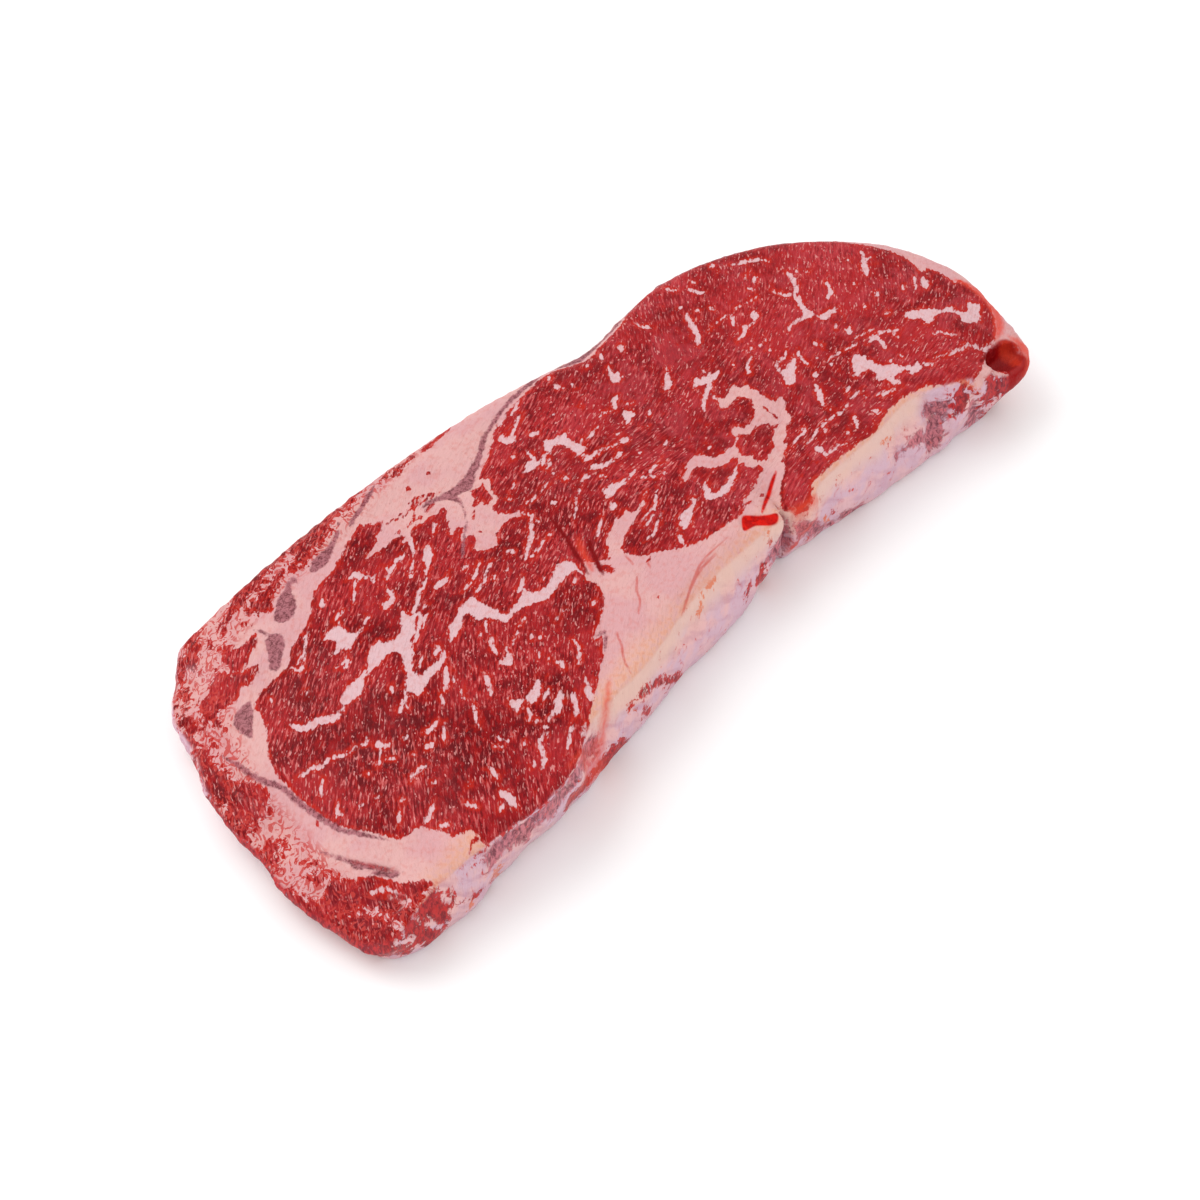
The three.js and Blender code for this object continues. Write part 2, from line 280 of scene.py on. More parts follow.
# Cut face, seen from above: outlines of the red muscles, set in pale fat.
MUSCLES = [
    # The large left muscle.
    [(-72, 26.2), (-74, 25.8), (-76, 25.2), (-79, 24.4), (-82, 22.3), (-83.3, 21.5), (-88.7, 21.7),
     (-92, 21.7), (-93.7, 21), (-95.3, 20.2), (-95.8, 18), (-97, 14.7), (-98.7, 12.3), (-100.7, 10.3),
     (-102.3, 8), (-103.5, 5.3), (-104.2, 2.7), (-104.3, 0), (-104.7, -3.3), (-104.8, -8.3), (-104.8, -12.7),
     (-104.3, -16.7), (-103.3, -19.7), (-102, -22), (-100.7, -24.7), (-99.3, -27.7), (-98.2, -29.7),
     (-96, -30.8), (-93, -31.3), (-92.3, -32.3), (-91.7, -34.5), (-90.5, -37.5), (-90, -39.8),
     (-87.5, -40.8), (-86.2, -42), (-86.5, -46), (-84, -47.2), (-80, -48.7), (-72, -50.6), (-66, -50.6),
     (-60, -49.2), (-56.5, -47.8), (-53, -45.7), (-50, -43.5), (-47.5, -41), (-45, -39), (-42.3, -38),
     (-42.2, -37.3), (-41, -36.8), (-39, -35.5), (-37, -34), (-34, -32.3), (-32.3, -31), (-31, -29.5),
     (-29, -28.3), (-28.3, -27), (-30, -26.5), (-30, -25.7), (-28.5, -25), (-25.5, -23.7), (-22.5, -21.7),
     (-20, -20), (-18.5, -17.3), (-18, -15), (-18.7, -12.3), (-16.5, -10.5), (-14, -7), (-12, 0), (-12, 8),
     (-14, 11.3), (-16, 11.4), (-17, 12.5), (-19, 12.8), (-20.5, 12.7), (-22.5, 12.3), (-24.3, 11.5),
     (-25, 10.3), (-26, 9.7), (-27, 9.3), (-28.5, 10), (-30, 11), (-31, 12.5), (-29.3, 13.5), (-28.3, 14.8),
     (-28, 16.2), (-29, 16.3), (-31, 16.2), (-30.3, 17.3), (-28.3, 18.3), (-28.2, 19.5), (-29.3, 19.8),
     (-31.3, 19.3), (-31, 20.7), (-29.7, 21.8), (-28.7, 23.7), (-27, 25.3), (-26.3, 27.3), (-28.7, 26.6),
     (-31, 27.4), (-33, 27), (-34.7, 27.7), (-37, 27.6), (-38, 26.7), (-40, 25.6), (-41, 26.3), (-39.5, 27),
     (-40, 28), (-42.5, 28.6), (-44, 28), (-47, 28.7), (-50.3, 28.5), (-50, 29.3), (-47, 30.2), (-44.5, 31),
     (-44.3, 32.3), (-41.7, 32.7), (-40.3, 34.2), (-39, 35.3), (-42, 35.7), (-41.5, 36.8), (-43.3, 37.2),
     (-43.7, 38.3), (-46, 37.5), (-48.7, 36.3), (-51.3, 35.3), (-53, 34.2), (-55.3, 33.7), (-57.7, 32.5),
     (-60.7, 32.2), (-63.3, 31.7), (-65.3, 31), (-67, 29.8), (-68.7, 28.7), (-70, 27.7)],
    # The muscles of the middle and of the thick end.
    [(-14.8, 12.8), (-16, 13.3), (-17.5, 14), (-18.7, 15.5), (-19, 17), (-18, 18.5), (-16.5, 19),
     (-15, 19.8), (-15.5, 20.5), (-14.5, 22.5), (-13, 25), (-13, 26), (-13.8, 27.5), (-12, 28.5),
     (-10, 29.7), (-8, 30.3), (-5, 32.5), (-3, 33.3), (-1, 35), (1, 36.2), (4, 37), (10, 38), (20, 39),
     (24, 38.5), (27, 36.7), (31, 35), (34, 35), (38, 36), (46, 37), (52, 39), (60, 39.6), (70, 38.3),
     (76, 36.6), (82, 34.2), (88, 31.2), (94, 28), (99, 23.5), (104, 18.5), (108, 12.5), (111, 7),
     (112.5, 3.5), (113, 0), (113, -3), (112, -6), (113.3, -6.5), (114.7, -7), (115.5, -10), (116, -12),
     (115.5, -14.5), (117.5, -14.5), (118, -17), (118, -22), (117, -25), (115.5, -27.5), (113, -30),
     (111, -32), (108, -33.5), (104, -34.5), (101, -36), (97, -37.7), (95, -38), (93, -37), (90, -35.7),
     (87, -34), (84, -32), (81, -30.7), (78, -30), (72, -30), (66, -31.3), (62, -31.8), (54, -31.3),
     (43, -31.2), (41, -31.7), (39.5, -32.7), (38.3, -34), (36.5, -33.8), (34.5, -33), (33, -31.5),
     (32, -30), (33, -28.7), (34.5, -27.3), (36.3, -25.7), (38, -25), (39.5, -24.3), (40.5, -23),
     (41.3, -21.7), (43, -20.8), (44, -19.8), (45.7, -19.3), (46.3, -17.7), (49, -16.3), (50, -15.3),
     (53, -14.3), (53.7, -12), (54.7, -10.7), (56, -9.3), (55.8, -8), (54, -8.2), (53, -6), (52.3, -2),
     (52.3, 0), (51, 0.5), (50, 2), (48, 2.3), (46.7, 1.3), (45.3, 1.2), (44.5, 2.3), (43.7, 1.7),
     (42.7, -0.3), (43.5, -1.3), (46, -1.3), (48, -1), (49.7, -3), (49.5, -4.3), (48.3, -5.5), (47.7, -6.8),
     (46, -8), (42, -8.7), (41, -7), (40, -6.5), (38.5, -7.5), (37.5, -9.8), (35, -10.7), (31, -10.3),
     (29.5, -9.3), (28.5, -8), (28, -6.5), (26, -6), (24, -6.2), (22.7, -6.7), (21.5, -7.8), (19, -9),
     (19.5, -10), (21.5, -9.5), (22.5, -8.7), (24, -8.7), (25.5, -9.8), (26, -11), (28, -12.3), (29.5, -13),
     (33, -13.3), (33.3, -14.5), (32.3, -15.3), (33.2, -16), (33.2, -17.5), (34.2, -18.5), (36, -18.8),
     (36, -20), (33.5, -20.7), (31.5, -21.7), (26, -23.5), (24.5, -24), (22, -26), (19, -26.2), (14, -25.8),
     (8, -24.8), (4, -23), (2, -21.7), (-2.5, -19), (-5.3, -17), (-6.7, -14.5), (-6.7, -13), (-5, -11.7),
     (-3, -10.7), (3, -8.8), (8, -7.3), (8, -6.9), (5, -7.4), (3.3, -6.9), (2.5, -5.7), (0, -5.7),
     (-3, -6.5), (-6.5, -7.7), (-8, -10), (-9.5, -11), (-10, -12.3), (-11, -12), (-12, -10.8), (-14, -9),
     (-16, 0), (-16, 9)],
    # An island between the middle and the thick end.
    [(37.7, -9.7), (40, -9.7), (41.3, -11), (43, -10.5), (45.5, -10.7), (47, -11.3), (48, -12.7),
     (49.3, -13.2), (47, -14), (45.5, -15), (43.5, -16.8), (41, -18), (38.5, -18.7), (36.7, -17.8),
     (36.3, -16.5), (37, -15.3), (35.3, -15), (34.9, -14), (35.5, -12)],
    # The red knob beside the cleft.
    [(-13.3, -12.5), (-12, -12.9), (-11.3, -14.5), (-12, -15.7), (-13, -15.7), (-13.7, -14)],
    # Ragged patches along the far edge and the tail.
    [(-106.3, 32), (-105.7, 31), (-107.3, 28.3), (-108, 23.3), (-109.2, 16.7), (-109.5, 14), (-108.5, 8.7),
     (-107.3, 3.3), (-108.6, 1.6), (-111, 0.4), (-114, 1), (-118.6, 0.4), (-119, 7), (-116.2, 9.8),
     (-114.8, 10.4), (-117, 17), (-113, 22), (-110, 30)],
    [(-118.7, -2.5), (-116, -4), (-114.5, -3.5), (-113.3, -5), (-112.5, -8.5), (-115.3, -10), (-114.6, -8),
     (-116.4, -7), (-117.8, -11.5), (-118.8, -9.5)],
    [(-116.2, -17.3), (-114.5, -17.8), (-112.2, -23), (-114, -21.5), (-116, -22.3), (-116.4, -19.5)],
    [(-120.5, -14.5), (-119, -21.5), (-116.5, -24), (-114, -22.8), (-112.5, -23.5), (-111.5, -26),
     (-110, -29), (-107.5, -32), (-105.5, -37.5), (-104, -40), (-101, -43.5), (-102.5, -44.8), (-106, -45),
     (-114, -46.6), (-117, -46), (-120, -43), (-122, -36), (-122, -20)],
    [(-98.4, 44.5), (-96.5, 48), (-94.5, 46.3), (-92, 48.4), (-88, 50), (-87.5, 47.5), (-91, 44),
     (-94.5, 41.5), (-96, 39), (-96.5, 42.5), (-98.5, 42.2), (-100, 40.3), (-101, 41)],
    [(-103.5, 29), (-102, 33), (-98.5, 33), (-93.7, 35), (-93.3, 33), (-91, 29), (-88.5, 28), (-87.5, 26.5),
     (-92.3, 25), (-93, 26.2), (-98, 24.7), (-100.5, 26.2), (-102.5, 24.5), (-102.2, 22), (-103.2, 24.5)],
    [(-92, 30), (-91.3, 36), (-88, 38.8), (-84.3, 43.8), (-81, 45), (-77, 47), (-74, 48.5), (-68, 49),
     (-62, 48), (-60.7, 46), (-61.8, 44.8), (-66, 43.8), (-70, 42.8), (-73, 41.9), (-75.5, 42.5),
     (-77.7, 41), (-78, 37), (-79.3, 39), (-79, 41.3), (-80.5, 42.5), (-85, 41), (-87, 39), (-87.5, 36),
     (-86.7, 34), (-81.8, 34.2), (-83.5, 32), (-87.5, 30)],
    [(-77, 41), (-77.4, 38.5), (-76.8, 36.5), (-75.5, 34.4), (-74.3, 36), (-73, 37.6), (-70, 39),
     (-67.5, 40), (-65, 41), (-63.3, 39.2), (-62.8, 41), (-63, 42.8), (-66, 42.7), (-70, 41.6), (-74, 41.2)],
    [(-61.6, 38.3), (-61.8, 41), (-60.7, 44), (-59, 46), (-57, 48), (-50, 48.2), (-46, 47), (-44.3, 46),
     (-42.5, 44), (-44.5, 43.4), (-46, 44), (-48, 43), (-49, 41.5), (-52, 40.4), (-55, 40.3), (-58, 39.3)],
    [(-42.5, 43.3), (-42, 46), (-39, 47.2), (-35.8, 47.5), (-36, 46), (-38.5, 44.6), (-40.8, 43.2)],
    [(-28.2, 42.2), (-26.5, 44.5), (-24, 45.2), (-21, 44.8), (-18.3, 45.7), (-19.5, 43.8), (-22.5, 43),
     (-26, 42.2)],
    [(-17.2, 43.5), (-16, 44.9), (-14, 45.1), (-11.5, 44.6), (-9, 45.7), (-5, 45.1), (-8, 44), (-12, 43.5),
     (-14.5, 42.9)],
    # Red strips in the fat beside the left muscle.
    [(-18.5, 25.7), (-16, 25.3), (-14.7, 25.5), (-15.5, 23.5), (-16.5, 20.2), (-19.5, 20.3), (-18, 22),
     (-20, 21.2), (-22, 21.5), (-20, 22.7), (-19.3, 24)],
]

# Thin red strips and specks in the fat.
RED_STRIPS = {
    0.5: [[(-12, -28.9), (-10.7, -28.9)], [(24, -25.2), (26.5, -24.9)], [(29.5, -25.3), (31.5, -24.5)],
          [(49.9, -6.5), (50.3, -8), (50.5, -10), (50.3, -12)]],
    0.6: [[(-92.2, 36), (-91.4, 37.3)], [(-114.7, -13.5), (-113.7, -16), (-112.6, -18.5)], [(-83.6, 36.2),
          (-81.8, 37), (-80.2, 36.4)], [(-85.2, 39), (-83, 40.2), (-81, 39.8)], [(-39, 33.3), (-36.5, 33.4)],
          [(-37.5, 32.6), (-34, 33.3)], [(-35, 32), (-32, 33), (-29, 33.4)], [(-5.3, -19.8), (-4, -19.6),
          (-3.5, -20)]],
    0.7: [[(-101.4, 35), (-101, 33.8)], [(-90.2, 40.6), (-89.2, 42)], [(-106.8, -13.6), (-106.2, -11.8)],
          [(-84.5, 37.5), (-82.8, 38.4), (-81, 38)], [(-31, 34.3), (-29, 34.2), (-27, 33.5), (-25, 32.3),
          (-23, 31.3)], [(-33, 31.4), (-29.5, 32.4), (-27, 32), (-25, 30.9)], [(-40, 29.5), (-38.5, 29.4)],
          [(-36.7, 28.8), (-34, 29.7), (-32.5, 30.3)], [(-24.8, 18.7), (-23.2, 19.9), (-22.3, 20.4)]],
    0.8: [[(-104.5, 38.5), (-103.8, 40.2), (-102.2, 40.3), (-101.8, 39)], [(-105.2, 38), (-105.6, 35.8),
          (-105.9, 34.2), (-107.8, 33.6)], [(-106.5, 22), (-105.6, 26.4), (-105.9, 28)], [(-90.6, -45),
          (-88.6, -43.7), (-86.6, -44.2), (-85, -45.5)], [(-21.5, 37.2), (-20.5, 37.5)]],
    0.9: [[(-103.8, 38.2), (-102.1, 35.4)], [(-105.6, 29.2), (-104.6, 28.4), (-103.8, 29.6), (-104.6, 30.8)],
          [(-30.5, 29.1), (-28.5, 29.7), (-26.5, 30)], [(-26.2, 15.2), (-25.4, 14.8)]],
    1.0: [[(-31, 44.1), (-29, 45.1), (-27.5, 45.5)], [(-33, 28.7), (-31.5, 29.2)]],
    1.3: [[(-28.5, 37.3), (-27.3, 37.7)]],
    2.0: [[(-109.6, 27), (-111, 24), (-112.6, 22)]],
    2.6: [[(-101, 41), (-101.6, 38), (-103.4, 36.4)], [(-106.4, 35.4), (-105.6, 32), (-106.6, 29.6)],
          [(102.6, -37.2), (104.4, -38.2), (106.2, -40.4)]],
    3.0: [[(-98.5, 44.6), (-94.5, 44.8), (-90.5, 43.8)]],
}

# Pale fat inside the muscles: outlines of the larger patches.
FAT_PATCHES = [
    [(-82, 5), (-78.5, 6), (-76.5, 5.7), (-74, 5.8), (-72, 6.2), (-71, 7.3), (-69, 8.7), (-66.5, 9.3),
     (-65.5, 9.3), (-65.5, 8), (-63.5, 7), (-62.5, 6.3), (-61, 7), (-59, 8.5), (-57.5, 10), (-55.5, 12),
     (-56, 9.5), (-54, 8.5), (-52, 8.3), (-54, 7.7), (-56.5, 6.5), (-57.5, 4.8), (-60, 3.8), (-61.5, 2.3),
     (-62.5, 0.7), (-64, -0.6), (-65.7, -2), (-66.5, -4), (-66, -5), (-63, -5.1), (-60, -5), (-58.3, -4),
     (-56.5, -3.4), (-58, -5.2), (-60, -6.7), (-63, -7), (-65, -7.3), (-67.5, -8), (-70, -8.7), (-70.3, -7),
     (-71, -6), (-72, -5.3), (-70.5, -4.5), (-69, -3.3), (-67.7, -2), (-66.5, 0), (-65, 2), (-65, 3.7),
     (-66, 4.5), (-68, 4.8), (-70.5, 4.3), (-72, 4.6), (-74.5, 4.4), (-76.3, 3.3), (-78, 2.2), (-81, 2.6),
     (-83, 3.4)],
    [(-73.5, 19.3), (-72, 20), (-70, 19.8), (-68, 19.8), (-68.5, 18.5), (-68.5, 16.5), (-68, 15),
     (-66, 14.8), (-64, 15.8), (-62, 16.3), (-63, 15.3), (-65.5, 14.3), (-69, 13.5), (-71, 12.8),
     (-72.3, 13), (-71.5, 14), (-75, 14.3), (-73.5, 15.5), (-72, 17)],
    [(-61.8, 21), (-60.5, 23.2), (-59.3, 24.4), (-57.8, 25.6), (-56, 26.3), (-58.3, 27.9), (-57, 28.2),
     (-54.8, 28.1), (-54.3, 26.2), (-55.3, 25.2), (-57, 25.3), (-59, 23.8), (-60.5, 22)],
    [(-41.5, 18.5), (-39.5, 20.8), (-37.3, 21.2), (-38.5, 18.7), (-40.5, 17), (-43.5, 15.3), (-45.3, 14.4),
     (-44.3, 15.8), (-42.3, 17)],
    [(-45.8, 10.2), (-43.5, 9.8), (-41, 10.5), (-39.5, 11.5), (-42, 11.2), (-44.5, 11.2)],
    [(-58.2, 14.6), (-57.6, 16.2), (-55.5, 16.3), (-54, 17.5), (-53.6, 18.8), (-53, 17), (-54, 15.6),
     (-56.5, 14.5)],
    [(-54.7, -3.5), (-53.5, -2), (-51.5, 0), (-48, 1.2), (-46, 2), (-43.5, 2.6), (-41.3, 2.3), (-41.4, 0.3),
     (-40.9, -1.5), (-40.4, -3), (-40, -6.8), (-39, -7), (-36, -6.2), (-33.5, -5.7), (-32, -4.5),
     (-30.7, -2.8), (-29, -1.5), (-29.3, -3), (-31.5, -5.5), (-29.5, -7.5), (-27.5, -7.8), (-25, -7),
     (-23, -6), (-21.3, -5.3), (-20, -5), (-18.3, -5.3), (-17, -6.3), (-16.7, -7.5), (-17.2, -9),
     (-18, -10.8), (-18.7, -9), (-20, -8.8), (-22, -9), (-25, -9.7), (-28, -10.3), (-30, -10.7), (-33, -9.2),
     (-36, -8.2), (-38, -8), (-41, -8.6), (-41.9, -8), (-42.1, -6.7), (-43, -5.5), (-43.6, -4.1),
     (-45, -3.9), (-45.7, -2.8), (-45.2, -0.5), (-47, -0.3), (-48.7, -1.6), (-51, -2.6)],
    [(-51.3, -16), (-49.5, -15.3), (-48, -15), (-46.7, -13.7), (-46, -13.3), (-47.2, -15), (-47.7, -16.7),
     (-49.5, -18.3), (-50, -17)],
    [(-57.3, -24.7), (-55.7, -25.7), (-54, -26.7), (-55.3, -27.3), (-57.3, -27.8), (-58.3, -28.3),
     (-57.8, -26.5)],
    [(-54, -27.3), (-52, -26.3), (-50, -26), (-48.3, -25), (-47, -24), (-48.3, -26.3), (-49.7, -28),
     (-53.5, -29.2)],
    [(-52.3, -35), (-51, -33.3), (-48.7, -31.7), (-46.2, -31.1), (-47.5, -32.8), (-49.5, -34.3)],
    [(-2, 31.5), (-1.3, 33.3), (-0.5, 34), (0, 33), (-0.2, 31.7), (1.4, 31.8), (1.7, 31), (1, 29.5),
     (0, 28.8), (-1, 29.5)],
    [(-6.3, 20.3), (-4.5, 21), (-3.3, 21.7), (-1.5, 21.7), (-0.8, 20.5), (-0.3, 19.5), (-2, 19.5),
     (-3.5, 19.3), (-4.5, 19.7)],
    [(2.7, 21), (3.3, 22), (4.3, 23), (5.5, 23.7), (6.3, 23), (7.7, 22.2), (10.7, 22), (9.8, 20.8),
     (9.7, 18), (10.3, 16.7), (9.8, 14.3), (6.5, 14.3), (7.3, 15.3), (7.5, 17), (7, 19.7), (6, 20.7),
     (5, 20.8), (3.3, 20)],
    [(22.5, 13), (23.5, 14.3), (24.5, 16), (25.5, 16.2), (26.3, 15), (26.5, 13.3), (25, 13.3), (23.3, 12.6)],
    [(7.3, 12.7), (8.3, 13.2), (9.5, 12.3), (11.5, 12.2), (13, 11.5), (15, 10.5), (17, 10.3), (19.8, 10),
     (19, 8.8), (17.7, 8.5), (16.5, 9.5), (14.5, 10.3), (12.5, 11), (9, 11.3), (7, 11.7)],
    [(6, 9), (7.3, 10), (8.3, 9), (9.5, 8.3), (13, 7.6), (15, 7.9), (14.5, 7), (12, 6.6), (10, 6.9),
     (8, 7.5)],
    [(3.7, 3.3), (4.2, 2.4), (6, 2.8), (7.5, 1.5), (10, 1.1), (13, 1.7), (13.5, 1), (10, 0.3), (5, 0),
     (2, 0), (3, 1.5)],
    [(30.3, 24), (30.5, 25.5), (31.7, 26.5), (32.3, 28), (33, 29.2), (34, 29.3), (33.3, 27.8), (33, 26.8),
     (34.3, 26.2), (33.5, 25), (33, 23.9)],
    [(37, 13.3), (38.3, 14.7), (40, 16), (41.5, 17.2), (43.2, 18.5), (42, 16.5), (41, 15), (39.7, 13.2)],
    [(42.5, 8.7), (44, 10), (45.3, 10.5), (46.3, 9.7), (49, 8.7), (51, 8.3), (50.5, 7.3), (49, 6.7), (47, 7),
     (44, 8.3)],
    [(59.3, -7), (60.3, -5.5), (61, -3.7), (61.7, -2.8), (63, -3.7), (65, -3), (67, -2.5), (66.5, -4),
     (65, -5.3), (63, -6.3), (62, -7.7), (61, -8)],
    [(72.3, -17.2), (74, -16.5), (75.3, -15), (76.5, -13.5), (77.7, -13), (79, -13.3), (79.7, -15),
     (79.4, -16.5), (80, -18), (80.3, -20), (82, -21), (83, -22.3), (84, -24), (85.3, -24.7), (86, -26),
     (87.5, -25.5), (87, -27), (85.5, -27.7), (83.5, -27.2), (83.9, -25.6), (83, -24.7), (79.5, -24),
     (78.5, -23.3), (76.5, -22), (77.7, -20.8), (77.5, -19.5), (77, -18.3), (73.7, -17.8)],
    [(78.3, -23.6), (79.4, -23.5), (80, -25), (80, -26.5), (79.5, -27.7), (78.8, -26.5), (78.2, -25)],
    [(78.5, 3.5), (80.2, 6), (81.8, 6.3), (81.5, 3.4), (82.5, 2), (84, 1.5), (86.5, 1.3), (88, 0.2), (85, 0),
     (82, -0.3), (81.5, 1), (80.8, 3)],
    [(97, -13.5), (98, -13), (99.5, -13), (100.5, -14), (102.3, -15.5), (103.7, -16.7), (105, -18.5),
     (107, -18.8), (108.5, -20), (107.5, -20.7), (108.7, -22), (110.5, -22.7), (113, -21), (113.5, -22),
     (115, -23), (114.3, -24.3), (112.5, -25), (111, -26.7), (109, -26.8), (106, -25), (107.3, -23.5),
     (107, -21.5), (105.7, -20), (104.3, -19.3), (102.3, -18.7), (100.5, -19.7), (98.5, -18.5),
     (99.5, -17.7), (99, -16.5), (97.7, -15.5)],
    # The hooked patch and the long one in the lower middle muscle.
    [(22.3, -13.5), (21, -14), (20, -15), (18.7, -17), (20, -18.3), (23, -19.5), (27, -18.5), (29, -17.5),
     (30.5, -16.3), (32.3, -15.4), (28.5, -16.5), (26, -17.2), (23, -17.5), (21, -17.3), (21.5, -16),
     (22, -14.7)],
    [(8.7, -20), (7.8, -18.7), (9.3, -17), (10.3, -16), (12, -16), (14.5, -16), (16, -15), (15.7, -14),
     (16.7, -14.5), (16.5, -16), (15, -17), (12.5, -18), (10.5, -19.3)],
]

